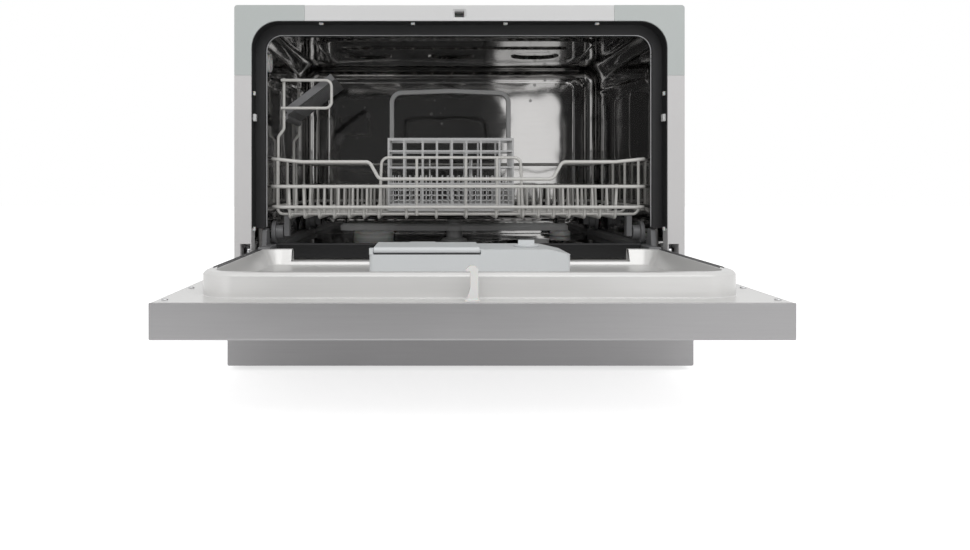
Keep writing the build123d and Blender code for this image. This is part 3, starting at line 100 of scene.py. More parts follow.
class TubSettings(bpy.types.PropertyGroup):
    """Pressed panels and polish of the tub."""

    steel: a_colour("Steel", "Colour of the polished steel", (0.35, 0.345, 0.34))
    polish: a_number("Roughness", "Roughness of the polished steel", 0, 1, 0.07)
    rise: a_length("Panel rise", "How far a pressed panel stands out", 0, 0.01, 0.0026)
    ramp: a_length("Panel ramp", "Width of a pressed panel's sloping edge", 0.001, 0.02, 0.0036)
    step: a_length("Mesh step", "Size of the faces that carry the pressings", 0.001, 0.02, 0.0024)


class RackSettings(bpy.types.PropertyGroup):
    """Wires, beads and lattice of the rack and its basket."""

    wire_colour: a_colour("Wire coating", "Colour of the coated wire", (0.62, 0.61, 0.585))
    basket_colour: a_colour("Basket", "Plastic of the cutlery basket", (0.56, 0.56, 0.56))
    handle_colour: a_colour("Basket handle", "Plastic of the basket's handle", (0.33, 0.33, 0.33))
    wire: a_length("Wire", "Radius of the floor and cross wires", 0.0005, 0.005, 0.0019)
    rail: a_length("Rail", "Radius of the three level rails", 0.0005, 0.005, 0.0022)
    sides: IntProperty(name="Sides", description="Sides of a wire's section", min=6, max=24, default=12)
    turns: IntProperty(name="Bend steps", description="Steps in a wire's bend", min=2, max=16, default=7)
    bead: a_length("Weld bead", "Radius of a weld bead", 0.0005, 0.004, 0.0022)
    bar: a_length("Lattice bar", "Width of the basket's fine bars", 0.0005, 0.004, 0.0013)
    rib: a_length("Lattice rib", "Width of the basket's strong ribs", 0.0005, 0.006, 0.0026)


class FastenerSettings(bpy.types.PropertyGroup):
    """Screws."""

    head: a_length("Screw head", "Radius of a screw head", 0.001, 0.006, 0.0030)
    dome: a_length("Head height", "Height of a screw head", 0.0003, 0.004, 0.0012)


class StageSettings(bpy.types.PropertyGroup):
    """Floor, light and camera."""

    floor: a_colour("Floor", "Colour of the floor", (0.9, 0.9, 0.9))
    glow: a_number("Floor glow", "What the floor adds where the camera sees it", 0, 1, 0.7)
    sky: a_number("Surrounding light", "Strength of the light from all round", 0, 4, 0.52)
    key: a_number("Key lamp", "Power of the large lamp in front and above", 0, 500, 20.0, "POWER")
    mouth: a_number("Mouth lamp", "Power of the lamp that looks into the tub", 0, 500, 3.0, "POWER")
    card_shade: a_number("Cards' grey", "How light the dark cards are", 0, 1, 0.09)
    eye: FloatVectorProperty(name="Camera", description="Place of the camera", subtype="TRANSLATION",
                             unit="LENGTH", size=3, default=(-0.036, -1.0755, 0.223))
    lens: a_number("Lens", "Focal length of the camera in millimetres", 10, 200, 30.2)
    shift_x: a_number("Shift across", "Sideways shift of the picture", -0.5, 0.5, 0.0567)
    shift_y: a_number("Shift up", "Upward shift of the picture", -0.5, 0.5, -0.0969)


# ---- node helpers


def plug(tree, socket, value):
    """Feeds an input: another socket is linked to it, anything else becomes its value."""
    if isinstance(value, bpy.types.NodeSocket):
        tree.links.new(value, socket)
    else:
        socket.default_value = value


def add(tree, kind, settings=None, **inputs):
    """Adds a node with its settings, and feeds its inputs by name, with _ for a space."""
    node = tree.nodes.new(kind)
    for name, value in (settings or {}).items():
        setattr(node, name, value)
    for name, value in inputs.items():
        plug(tree, node.inputs[name.replace("_", " ")], value)
    return node


def maths(tree, operation, first, second=0.0, clamp=False):
    """A Math node over two values or sockets; gives its output."""
    node = add(tree, "ShaderNodeMath", {"operation": operation, "use_clamp": clamp})
    for socket, value in zip(node.inputs, (first, second)):
        plug(tree, socket, value)
    return node.outputs[0]


def new_group(name, kind, inputs, outputs):
    """A node group with inputs (name, socket kind, default) and outputs (name, socket kind)."""
    tree = bpy.data.node_groups.new(name, kind)
    for label, socket_kind, default in inputs:
        socket = tree.interface.new_socket(label, in_out="INPUT", socket_type="NodeSocket" + socket_kind)
        if default is not None:
            socket.default_value = default
    for label, socket_kind in outputs:
        tree.interface.new_socket(label, in_out="OUTPUT", socket_type="NodeSocket" + socket_kind)
    return tree, tree.nodes.new("NodeGroupInput").outputs, tree.nodes.new("NodeGroupOutput").inputs


def once(build):
    """Makes a node group the first time it is asked for; it carries the name of its function."""
    def group():
        return bpy.data.node_groups.get(build.__name__) or build(build.__name__)
    return group


@once
def surface_grain(name):
    """Colour that drifts, roughness that varies and a fine relief, for moulded and brushed surfaces."""
    tree, given, result = new_group(
        name, "ShaderNodeTree",
        [("Colour", "Color", (0.5, 0.5, 0.5, 1)), ("Drift", "Float", 0.03), ("Fleck", "Float", 0.03),
         ("Patch Scale", "Float", 9.0), ("Grain Scale", "Float", 900.0), ("Stretch", "Vector", (1, 1, 1)),
         ("Roughness", "Float", 0.4), ("Spread", "Float", 0.08)],
        [("Colour", "Color"), ("Roughness", "Float"), ("Height", "Float")])
    place = add(tree, "ShaderNodeTexCoord").outputs["Object"]
    drawn = add(tree, "ShaderNodeVectorMath", {"operation": "MULTIPLY"}, Vector=place)
    tree.links.new(given["Stretch"], drawn.inputs[1])
    grain = add(tree, "ShaderNodeTexNoise", Vector=drawn.outputs[0], Scale=given["Grain Scale"],
                Detail=2.0, Roughness=0.6).outputs["Fac"]
    patch = add(tree, "ShaderNodeTexNoise", Vector=place, Scale=given["Patch Scale"], Detail=3.0,
                Roughness=0.55).outputs["Fac"]
    swing = maths(tree, "MULTIPLY", maths(tree, "SUBTRACT", patch, 0.5), 2.0)
    tick = maths(tree, "MULTIPLY", maths(tree, "SUBTRACT", grain, 0.5), 2.0)
    lift = maths(tree, "ADD", maths(tree, "MULTIPLY", swing, given["Drift"]),
                 maths(tree, "MULTIPLY", tick, given["Fleck"]))
    tint = add(tree, "ShaderNodeVectorMath", {"operation": "SCALE"}, Vector=given["Colour"],
               Scale=maths(tree, "ADD", lift, 1.0))
    sway = maths(tree, "ADD", swing, maths(tree, "MULTIPLY", tick, 0.6))
    sway = maths(tree, "MULTIPLY", sway, given["Spread"])
    tree.links.new(tint.outputs[0], result["Colour"])
    tree.links.new(maths(tree, "ADD", given["Roughness"], sway, clamp=True), result["Roughness"])
    tree.links.new(grain, result["Height"])
    return tree


@once
def water_marks(name):
    """Faint drops that dried on steel, as a mask from 0 to 1."""
    tree, given, result = new_group(name, "ShaderNodeTree",
                                    [("Scale", "Float", 60.0), ("Amount", "Float", 0.3)], [("Mask", "Float")])
    place = add(tree, "ShaderNodeTexCoord").outputs["Object"]
    cells = add(tree, "ShaderNodeTexVoronoi", Vector=place, Scale=given["Scale"], Randomness=1.0)
    spots = maths(tree, "LESS_THAN", cells.outputs["Distance"], 0.16)
    where = add(tree, "ShaderNodeTexNoise", Vector=place, Scale=14.0, Detail=1.0).outputs["Fac"]
    kept = maths(tree, "MULTIPLY", spots, maths(tree, "GREATER_THAN", where, 0.56))
    tree.links.new(maths(tree, "MULTIPLY", kept, given["Amount"]), result["Mask"])
    return tree


def principled(name, **values):
    """A new material with these values on its Principled node; gives the material and the node."""
    material = bpy.data.materials.new(name)
    material.use_nodes = True
    shader = material.node_tree.nodes["Principled BSDF"]
    for label, value in values.items():
        shader.inputs[label.replace("_", " ")].default_value = value
    return material, shader


def finish(name, colour, rough, metal=0.0, drift=0.03, fleck=0.03, patch=9.0, grain=900.0,
           stretch=(1, 1, 1), spread=0.08, relief=0.02, coat=0.0, coat_rough=0.1, wave=0.0,
           marks=0.0, through=0.0):
    """One finish: a Principled surface fed by the shared grain, with its own values."""
    label = "dish_" + name
    if label in bpy.data.materials:
        return bpy.data.materials[label]
    material, shader = principled(label, Metallic=metal, Coat_Weight=coat, Coat_Roughness=coat_rough,
                                  Subsurface_Weight=through, Subsurface_Scale=0.003)
    tree = material.node_tree
    group = add(tree, "ShaderNodeGroup", {"node_tree": surface_grain()}, Colour=(*colour, 1), Drift=drift,
                Fleck=fleck, Patch_Scale=patch, Grain_Scale=grain, Stretch=stretch, Roughness=rough,
                Spread=spread)
    tree.links.new(group.outputs["Colour"], shader.inputs["Base Color"])
    roughness = group.outputs["Roughness"]
    height = maths(tree, "MULTIPLY", group.outputs["Height"], relief)
    if marks:
        spots = add(tree, "ShaderNodeGroup", {"node_tree": water_marks()}, Amount=marks)
        roughness = maths(tree, "ADD", roughness, spots.outputs["Mask"], clamp=True)
    if wave:
        place = add(tree, "ShaderNodeTexCoord").outputs["Object"]
        swell = add(tree, "ShaderNodeTexNoise", Vector=place, Scale=13.0, Detail=1.5, Roughness=0.4)
        height = maths(tree, "ADD", height, maths(tree, "MULTIPLY", swell.outputs["Fac"], wave))
    tree.links.new(roughness, shader.inputs["Roughness"])
    bump = add(tree, "ShaderNodeBump", Height=height, Strength=1.0, Distance=0.001)
    tree.links.new(bump.outputs["Normal"], shader.inputs["Normal"])
    return material


def finishes():
    """Every finish of the part, by the record's slot; it has the slot's name unless it gives its own."""
    casing = bpy.context.scene.dish_casing
    tub = bpy.context.scene.dish_tub
    rack = bpy.context.scene.dish_rack
    table = {}

    def row(slot, colour, rough, name=None, **values):
        table[slot] = finish(name or slot, colour, rough, **values)

    row("casing", casing.casing, 0.42, "casing_paint", metal=0.25, grain=1600, fleck=0.05, relief=0.03,
        coat=0.15, coat_rough=0.3)
    row("zinc_sheet", (0.42, 0.43, 0.44), 0.4, metal=0.85, drift=0.12, fleck=0.1, patch=45, grain=300,
        spread=0.12)
    row("dark_moulding", (0.022, 0.022, 0.024), 0.5, grain=1300, relief=0.06, drift=0.08, fleck=0.08)
    row("rubber", (0.013, 0.013, 0.014), 0.55, "seal_rubber", grain=1500, relief=0.05, drift=0.12,
        fleck=0.1, spread=0.12)
    row("silver_panel", casing.door, 0.44, metal=0.7, grain=420, stretch=(0.03, 1, 1), drift=0.025,
        fleck=0.05, relief=0.012, spread=0.05)
    row("frame_light", casing.top_bar, 0.4, grain=1700, relief=0.03, fleck=0.02)
    row("frame_grey", casing.corners, 0.42, grain=1700, relief=0.03, fleck=0.02)
    row("frame_side", casing.side_bars, 0.42, grain=1700, relief=0.03, fleck=0.02)
    row("hinge_steel", (0.55, 0.55, 0.56), 0.3, metal=1.0, grain=500, stretch=(1, 0.06, 1), drift=0.06,
        fleck=0.1, spread=0.1)
    row("white_plastic", (0.76, 0.76, 0.745), 0.3, grain=900, relief=0.012, drift=0.02, fleck=0.01,
        through=0.2, coat=0.1)
    row("tub_steel", tub.steel, tub.polish, metal=1.0, grain=360, stretch=(0.05, 1, 1), drift=0.05,
        fleck=0.04, spread=0.04, relief=0.008, wave=1.1, marks=0.15)
    row("liner_steel", (0.71, 0.705, 0.695), 0.3, metal=0.2, grain=420, stretch=(0.04, 1, 1), drift=0.05,
        fleck=0.03, spread=0.04, relief=0.006, wave=0.2)
    row("dispenser_grey", (0.68, 0.70, 0.71), 0.38, grain=1500, relief=0.03, drift=0.02, fleck=0.015)
    row("coated_wire", rack.wire_colour, 0.36, grain=700, relief=0.03, drift=0.05, patch=30, coat=0.1)
    row("rack_plastic", (0.17, 0.17, 0.175), 0.42, grain=1200, relief=0.03, drift=0.06, fleck=0.04)
    row("basket_grey", rack.handle_colour, 0.4, grain=1300, relief=0.03, drift=0.04, fleck=0.02)
    row("window", (0.008, 0.008, 0.009), 0.08, "tinted_window", grain=200, relief=0.001, coat=0.5)
    row("board", (0.02, 0.10, 0.045), 0.35, "circuit_board", grain=260, drift=0.2, fleck=0.3)
    return table


# ---- mesh helpers


def metres(point):
    """A place or size in metres, from one in millimetres."""
    return tuple(c * MM for c in point)


def linked(name, data):
    """A new object in the scene."""
    piece = bpy.data.objects.new(name, data)
    bpy.context.scene.collection.objects.link(piece)
    return piece


def to_object(name, mesh, body, slot, smooth=None, paint=None):
    """Turns a finished mesh into a piece: material, shading, body and slot."""
    piece = linked(name, mesh)
    mesh.materials.clear()
    mesh.materials.append(paint or finishes()[slot])
    mesh.polygons.foreach_set("material_index", [0] * len(mesh.polygons))
    if smooth is not None:
        mesh.polygons.foreach_set("use_smooth", [True] * len(mesh.polygons))
        mesh.set_sharp_from_angle(angle=math.radians(smooth))
    mesh.update()
    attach(piece, body)
    return piece


def baked(piece):
    """The evaluated shape of an object as a plain mesh; the object itself is removed."""
    graph = bpy.context.evaluated_depsgraph_get()
    mesh = bpy.data.meshes.new_from_object(piece.evaluated_get(graph), depsgraph=graph)
    source = piece.data
    bpy.data.objects.remove(piece)
    if source.users == 0:
        bpy.data.meshes.remove(source)
    return mesh


def rounded_copy(node, edge, segments=2, sharp=32.0, clamp=False):
    """A node's shape with merged corners and softly rounded edges, which stands for the node."""
    mesh = frame["nodes"][node].data.copy()
    shape = bmesh.new()
    shape.from_mesh(mesh)
    bmesh.ops.remove_doubles(shape, verts=shape.verts, dist=2e-6)
    bmesh.ops.dissolve_limit(shape, angle_limit=math.radians(0.6), verts=shape.verts, edges=shape.edges)
    shape.to_mesh(mesh)
    shape.free()
    work = linked(node + "_work", mesh)
    bevel = work.modifiers.new("edges", "BEVEL")
    bevel.limit_method = "ANGLE"
    bevel.angle_limit = math.radians(sharp)
    bevel.width = edge
    bevel.segments = segments
    bevel.use_clamp_overlap = clamp
    piece = to_object("rounded_" + node, baked(work), BODY_OF[node], SLOT_OF[node], 38)
    weigh = piece.modifiers.new("face_weights", "WEIGHTED_NORMAL")
    weigh.keep_sharp = True
    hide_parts(node)
    return piece


def rounded(nodes, edge, **options):
    """Rounds every node of a list that is written as one line."""
    for node in nodes.split():
        rounded_copy(node, edge, **options)


def marked(name, points, edges, label, kind, field, values):
    """Points and edges with one attribute on the points."""
    mesh = bpy.data.meshes.new(name)
    mesh.from_pydata(points, edges, [])
    mesh.attributes.new(label, kind, "POINT").data.foreach_set(field, values)
    return mesh


def paths_mesh(name, paths):
    """Open paths as edges, from (corners, bend radius or radii) in millimetres."""
    points, edges, bends = [], [], []
    for path, bend in paths:
        first = len(points)
        points += [metres(point) for point in path]
        inner = bend if isinstance(bend, list) else [bend] * (len(path) - 2)
        bends += [0.0] + [radius * MM for radius in inner] + [0.0]
        edges += [(first + i, first + i + 1) for i in range(len(path) - 1)]
    return marked(name, points, edges, "bend", "FLOAT", "value", bends)


def points_mesh(name, spots):
    """Places in millimetres with the way each copy faces."""
    places = [metres(spot) for spot, facing in spots]
    facings = [c for spot, facing in spots for c in facing]
    return marked(name, places, [], "facing", "FLOAT_VECTOR", "vector", facings)


def bridged(shape, rows, closed=False):
    """Faces between neighbouring rows of points; closed rows run round."""
    count = len(rows[0])
    for low, high in zip(rows, rows[1:]):
        for i in range(count if closed else count - 1):
            j = (i + 1) % count
            shape.faces.new((low[i], low[j], high[j], high[i]))


def prism(shape, low, high):
    """A closed solid between two outlines with as many corners each, in millimetres."""
    rings = [[shape.verts.new(metres(corner)) for corner in ring] for ring in (low, high)]
    for ring in rings:
        shape.faces.new(ring)
    bridged(shape, rings, True)


def circle(shape, radius, height, steps):
    """The corners of a level ring, in metres."""
    return [shape.verts.new((radius * math.cos(2 * math.pi * i / steps),
                             radius * math.sin(2 * math.pi * i / steps), height)) for i in range(steps)]


def finished(shape, name, towards=None):
    """Turns a shape's faces outward, or all towards a place, and gives it as a plain mesh."""
    bmesh.ops.recalc_face_normals(shape, faces=shape.faces)
    for face in shape.faces if towards else ():
        if face.normal.dot(towards - face.calc_center_median()) < 0:
            face.normal_flip()
    mesh = bpy.data.meshes.new(name)
    shape.to_mesh(mesh)
    shape.free()
    return mesh


def attribute(tree, label, kind):
    """What a named attribute of the points gives."""
    node = add(tree, "GeometryNodeInputNamedAttribute", {"data_type": kind}, Name=label)
    return node.outputs["Attribute"]


def painted(tree, given, result, geometry):
    """Ends a Geometry Nodes tree: real instances, the given finish and the way out."""
    real = add(tree, "GeometryNodeRealizeInstances", Geometry=geometry)
    paint = add(tree, "GeometryNodeSetMaterial", Geometry=real.outputs[0], Material=given["Finish"])
    tree.links.new(paint.outputs[0], result[0])
    return tree


@once
def bent_wires(name):
    """Geometry Nodes: paths become wires with round bends."""
    tree, given, result = new_group(
        name, "GeometryNodeTree",
        [("Paths", "Geometry", None), ("Radius", "Float", 0.002), ("Bend Steps", "Int", 6),
         ("Sides", "Int", 12), ("Finish", "Material", None)], [("Wires", "Geometry")])
    curve = add(tree, "GeometryNodeMeshToCurve", Mesh=given["Paths"])
    fillet = add(tree, "GeometryNodeFilletCurve", {"mode": "POLY"}, Curve=curve.outputs[0],
                 Radius=attribute(tree, "bend", "FLOAT"), Count=given["Bend Steps"], Limit_Radius=True)
    section = add(tree, "GeometryNodeCurvePrimitiveCircle", Resolution=given["Sides"], Radius=given["Radius"])
    tube = add(tree, "GeometryNodeCurveToMesh", Curve=fillet.outputs[0], Fill_Caps=True,
               Profile_Curve=section.outputs["Curve"])
    return painted(tree, given, result, tube.outputs[0])


@once
def placed_copies(name):
    """Geometry Nodes: a small shape is set on every place, turned the way the place faces."""
    tree, given, result = new_group(
        name, "GeometryNodeTree",
        [("Places", "Geometry", None), ("Shape", "Object", None), ("Size", "Float", 1.0),
         ("Finish", "Material", None)], [("Copies", "Geometry")])
    turn = add(tree, "FunctionNodeAlignRotationToVector", {"axis": "Z"},
               Vector=attribute(tree, "facing", "FLOAT_VECTOR"))
    shape = add(tree, "GeometryNodeObjectInfo", Object=given["Shape"])
    size = given["Size"]
    scale = add(tree, "ShaderNodeCombineXYZ", X=size, Y=size, Z=size)
    copies = add(tree, "GeometryNodeInstanceOnPoints", Points=given["Places"],
                 Instance=shape.outputs["Geometry"], Rotation=turn.outputs[0], Scale=scale.outputs[0])
    return painted(tree, given, result, copies.outputs[0])


@once
def bar_row(name):
    """Geometry Nodes: a row of equal bars, each a block, at a fixed step."""
    tree, given, result = new_group(
        name, "GeometryNodeTree",
        [("Start", "Vector", (0, 0, 0)), ("Step", "Vector", (0.01, 0, 0)), ("Count", "Int", 4),
         ("Size", "Vector", (0.001, 0.001, 0.01)), ("Finish", "Material", None)], [("Bars", "Geometry")])
    line = add(tree, "GeometryNodeMeshLine", {"mode": "OFFSET"}, Count=given["Count"],
               Start_Location=given["Start"], Offset=given["Step"])
    block = add(tree, "GeometryNodeMeshCube", Size=given["Size"])
    blocks = add(tree, "GeometryNodeInstanceOnPoints", Points=line.outputs[0],
                 Instance=block.outputs["Mesh"])
    return painted(tree, given, result, blocks.outputs[0])


def grown(name, mesh, tree, **values):
    """Runs a Geometry Nodes tree on a mesh and gives the result as a plain mesh."""
    work = linked(name, mesh)
    modifier = work.modifiers.new("grow", "NODES")
    modifier.node_group = tree
    labels = {item.name: item.identifier for item in tree.interface.items_tree
              if item.item_type == "SOCKET" and item.in_out == "INPUT"}
    for label, value in values.items():
        modifier[labels[label.replace("_", " ")]] = value
    work.update_tag()
    bpy.context.view_layer.update()
    return baked(work)


def bars(name, start, size, paint, step=(1, 0, 0), count=1):
    """Blocks in a row, in millimetres: the middle of the first, their size, the way to the next."""
    return grown(name, bpy.data.meshes.new(name), bar_row(), Start=metres(start), Step=metres(step),
                 Count=count, Size=metres(size), Finish=paint)


def lathe_mesh(name, profile, steps):
    """A closed solid turned about Z from (radius, height) pairs; a radius of 0 is a tip."""
    shape = bmesh.new()
    rings = [circle(shape, radius, height, steps if radius else 1) for radius, height in profile]
    for low, high in zip(rings, rings[1:]):
        for i in range(steps):
            j = (i + 1) % steps
            corners = (low[i % len(low)], low[j % len(low)], high[j % len(high)], high[i % len(high)])
            shape.faces.new(list(dict.fromkeys(corners)))
    return finished(shape, name)


def block_mesh(name, size, edge):
    """A small block with chamfered edges, standing on Z = 0."""
    shape = bmesh.new()
    bmesh.ops.create_cube(shape, size=1)
    for vert in shape.verts:
        vert.co = Vector((vert.co.x * size[0], vert.co.y * size[1], (vert.co.z + 0.5) * size[2]))
    bmesh.ops.bevel(shape, geom=shape.edges[:], offset=edge, segments=1, affect="EDGES", profile=0.5)
    return finished(shape, name)


def placed(name, shape_mesh, spots, slot, body, smooth=35, size=1.0):
    """Copies of a small shape on places of one body, as one piece."""
    shape = linked(name + "_shape", shape_mesh)
    mesh = grown(name + "_places", points_mesh(name, spots), placed_copies(), Shape=shape, Size=size,
                 Finish=finishes()[slot])
    bpy.data.objects.remove(shape)
    bpy.data.meshes.remove(shape_mesh)
    return to_object(name, mesh, body, slot, smooth)


def depth(distance):
    """Y, in millimetres, of a place this far behind the front frame's face."""
    return FRONT_Y + distance


class Maker:
    """What every operator shares: it makes its pieces and says that it is done."""

    def execute(self, context):
        self.make(context.scene)
        return {"FINISHED"}


# ---- casing, frame and door

# The two dark strips along each side of the pan's rim, painted shade that stands for the rim's groove: their
# edges, their ends and their height.
STRIPS = ((234.0, 236.4), (237.8, 240.2))
STRIP_FRONT, STRIP_CORNER, STRIP_BACK = -318, -309, -117
STRIP_Z = (141.9, 142.5)
# The plate that closes each end of the spill edge: its outline from the side and its two faces.
SPILL_OUTLINE = ((-114.2, 128), (-107.8, 141.4), (-98.6, 141.6), (-95.9, 138.9), (-95.9, 128))
SPILL_X = (200.1, 200.9)


class DISH_OT_casing(Maker, bpy.types.Operator):
    """Rounds the edges of the outer casing, its base, plinth and feet."""

    bl_idname = "dish.casing"
    bl_label = "Casing"

    def make(self, scene):
        edge = scene.dish_casing.edge
        rounded("top_panel side_panels plinth_panel feet base_tray", edge)
        rear = rounded_copy("back_panel", edge * 0.5, clamp=True)
        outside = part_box("back_panel")[1][1] - 0.3 * MM
        for vert in rear.data.vertices:
            vert.co.y -= BACK_SKIN * MM if vert.co.y > outside else 0


class DISH_OT_front_frame(Maker, bpy.types.Operator):
    """Rounds the bars round the mouth, the hinge pieces and the lock."""

    bl_idname = "dish.front_frame"
    bl_label = "Front frame"

    def make(self, scene):
        edge = scene.dish_casing.edge
        rounded("front_top_bar corner_brackets side_trims", edge, segments=3)
        rounded("hinge_brackets hinge_arms door_lock_body door_lock_pawl", edge * 0.5)


class DISH_OT_door(Maker, bpy.types.Operator):
    """Rounds the door's skin, pan, hook and controls; adds dark strips of painted groove shade on the pan's
    rim, and the spill edge's ends.
    """

    bl_idname = "dish.door"
    bl_label = "Door"

    def make(self, scene):
        edge = scene.dish_casing.edge
        rounded("door_liner", edge * 1.3, segments=3, sharp=28)
        rounded("door_outer_panel control_panel", edge * 1.2, segments=3)
        rounded("latch_hook display_window button_1 button_2 button_3 button_4", edge * 0.7)
        strips, steel = bmesh.new(), bmesh.new()
        for side in (-1, 1):
            for inner, outer in STRIPS:
                outline = ((inner, STRIP_FRONT), (outer, STRIP_CORNER), (outer, STRIP_BACK),
                           (inner, STRIP_BACK))
                prism(strips, *[[(side * x, y, z) for x, y in outline] for z in STRIP_Z])
            prism(steel, *[[(side * x, y, z) for y, z in SPILL_OUTLINE] for x in SPILL_X])
        # Dark strips on the pan's rim: painted shade of the rim's groove.
        to_object("side_strips", finished(strips, "side_strips"), "door", "dark_moulding")
        to_object("spill_ends", finished(steel, "spill_ends"), "door", "liner_steel")


class DISH_OT_dispenser(Maker, bpy.types.Operator):
    """Rounds the dispenser's housing, its flap, the flap's catch and the rinse-aid cap."""

    bl_idname = "dish.dispenser"
    bl_label = "Dispenser"

    def make(self, scene):
        edge = scene.dish_casing.edge
        rounded("dispenser_body", edge * 0.8, clamp=True)
        rounded("detergent_lid", edge * 0.8, segments=3, sharp=50)
        rounded("lid_latch rinse_aid_cap", edge * 0.6)
        low, high = (Vector(corner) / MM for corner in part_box("detergent_lid"))
        # The first strip is dark rubber under the flap's front edge: painted shade of the seam under the
        # flap.
        for name, slot, body, start, end in (
                ("lid_bead", "rubber", "door",
                 (low.x + 3, low.y - 0.4, 149.3), (high.x - 4.5, low.y + 0.8, 150.7)),
                ("vent_screen", "dark_moulding", BODY_OF["detergent_lid"],
                 (-40, -218, 150.6), (-20, -207, 151.0))):
            centre = [(a + b) / 2 for a, b in zip(start, end)]
            size = [b - a for a, b in zip(start, end)]
            to_object(name, bars(name, centre, size, finishes()[slot]), body, slot)


# ---- tub

# The tub's mouth and rear wall behind the frame's face, its ceiling, half its width, the sheets' foot.
TUB_MOUTH, TUB_REAR, CEILING, WALL, TUB_LOW = 36, 390.5, 411.0, 246.0, 145
# How far in front of the tub's walls the pressed sheets stand, and how deep the rear pad is pressed.
SKIN, PRESS = 0.35, 3.0
# The roundings of the tub: its upper corners, and its rear edge in this many steps.
CORNER, COVE, COVE_STEPS = 22, 15, 8


def round_box(u, v, cu, cv, hu, hv, radius):
    """Distance of a point from the outline of a rounded box; less than 0 inside."""
    qu = abs(u - cu) - hu + radius
    qv = abs(v - cv) - hv + radius
    return math.hypot(max(qu, 0), max(qv, 0)) + min(max(qu, qv), 0) - radius


def bar_line(u, v, u0, v0, u1, v1, half):
    """Distance of a point from a straight groove with round ends."""
    du, dv = u1 - u0, v1 - v0
    along = ((u - u0) * du + (v - v0) * dv) / (du * du + dv * dv)
    along = min(max(along, 0), 1)
    return math.hypot(u - u0 - along * du, v - v0 - along * dv) - half


def relief(u, v, forms, ramp):
    """Height of the pressed sheet at a place: each form rises over its own ramp."""
    height = 0.0
    for kind, rise, *sizes in forms:
        gap = round_box(u, v, *sizes) if kind == "panel" else bar_line(u, v, *sizes)
        share = min(max(0.5 - gap / ramp, 0), 1)
        height += rise * share * share * (3 - 2 * share)
    return height


def pressed_sheet(shape, low, high, step, ramp, forms, place):
    """A grid over (u, v) whose points stand out by the pressed forms; place gives each point."""
    across, up = (max(2, round((b - a) / step)) for a, b in zip(low, high))
    columns = [low[0] + (high[0] - low[0]) * i / across for i in range(across + 1)]
    rows = []
    for j in range(up + 1):
        v = low[1] + (high[1] - low[1]) * j / up
        rows.append([shape.verts.new(metres(place(u, v, relief(u, v, forms, ramp)))) for u in columns])
    bridged(shape, rows)


def arch(half, top, corner, foot):
    """The outline of the mouth from one foot over the top to the other: place and inward way."""
    outline = [(-half, foot, 1, 0)]
    for side, angles in ((-1, range(180, 89, -10)), (1, range(90, -1, -10))):
        for angle in angles:
            across, up = math.cos(math.radians(angle)), math.sin(math.radians(angle))
            outline.append((side * (half - corner) + corner * across, top - corner + corner * up,
                            -across, -up))
    return outline + [(half, foot, -1, 0)]


def swept(shape, outline, section, closed=False):
    """Carries a section of (inward way, Y) pairs along an outline of the mouth; gives its rings."""
    rings = [[shape.verts.new(metres((x + in_x * inward, y, z + in_z * inward))) for inward, y in section]
             for x, z, in_x, in_z in outline]
    bridged(shape, rings, closed)
    return rings


def seal_band(near, far, thickness):
    """The band of rubber that lines the inner edge of the front frame."""
    shape = bmesh.new()
    section = ((0, near), (thickness, near), (thickness, far), (0, far))
    rings = swept(shape, arch(HALF - 21.2, 418.3, 33, 165), section, True)
    shape.faces.new(rings[0])
    shape.faces.new(rings[-1])
    return finished(shape, "seal_band")


class DISH_OT_tub(Maker, bpy.types.Operator):
    """Makes the pressed panels of the tub's walls and ceiling and rounds its rim and seals."""

    bl_idname = "dish.tub"
    bl_label = "Tub"

    def make(self, scene):
        tub = scene.dish_tub
        rise, ramp, step = tub.rise / MM, tub.ramp / MM, tub.step / MM
        front, back = depth(TUB_MOUTH), depth(TUB_REAR)
        shape = bmesh.new()
        nested = [("panel", PRESS, 0, 278, 225, 122, 22), ("panel", -rise, 0, 271, 205, 116, 12),
                  ("panel", rise * 0.8, 0, 262, 178, 118, 8)]
        pressed_sheet(shape, (-240, TUB_LOW), (240, 404), step, ramp, nested,
                      lambda u, v, h: (u, back - SKIN - h, v))
        top_forms = [("panel", rise, 0, front + 165, 190, 120, 40)]
        top_forms += [("panel", -rise * 1.5, x, front + 177, 33, 30, 29) for x in (-128, -4, 119)]
        top_forms += [("line", rise * 0.8, -200, front + 22, 200, front + 22, 4),
                      ("line", rise * 0.8, -150, front + 105, 150, front + 105, 4)]
        pressed_sheet(shape, (-223, front), (223, back), step, ramp, top_forms,
                      lambda u, v, h: (u, v, CEILING - SKIN - h))
        forms = [("line", rise * 0.8, 236, 396, -20, 362, 3), ("line", rise * 0.8, 265, 369, -20, 355, 3),
                 ("line", rise * 0.7, front + 12, 180, front + 12, 352, 3.5)]
        forms += [("panel", -rise, y, z, half, 44, 8) for y, half in ((218, 36), (124, 41), (21, 50))
                  for z in (301, 203)]
        for side in (-1, 1):
            pressed_sheet(shape, (front, TUB_LOW), (back, 388), step, ramp, forms,
                          lambda u, v, h, side=side: (side * (WALL - SKIN - h), u, v))
        turns = [math.pi / 2 * i / COVE_STEPS for i in range(COVE_STEPS + 1)]
        swept(shape, arch(WALL - SKIN, CEILING - SKIN, CORNER, TUB_LOW),
              [(COVE * (1 - math.cos(turn)), back - SKIN - COVE + COVE * math.sin(turn)) for turn in turns])
        mesh = finished(shape, "tub_pressings", Vector((0, depth(210) * MM, 0.27)))
        to_object("tub_pressings", mesh, "cabinet", "tub_steel", 60)
        lip = [(-240.2, -58, 166), (-240.2, -58, 405.2), (240.2, -58, 405.2), (240.2, -58, 166)]
        mesh = grown("mouth_bead", paths_mesh("mouth_bead", [(lip, 20.0)]), bent_wires(),
                     Radius=0.0008, Bend_Steps=8, Sides=8, Finish=finishes()["hinge_steel"])
        to_object("mouth_bead", mesh, "cabinet", "hinge_steel", 60)
        to_object("seal_band", seal_band(-81.0, -61.6, 0.5), "cabinet", "rubber", 40)
        rounded("tub", 0.0008, sharp=40)
        rounded("door_seal lip_seal rack_guides", 0.0007)


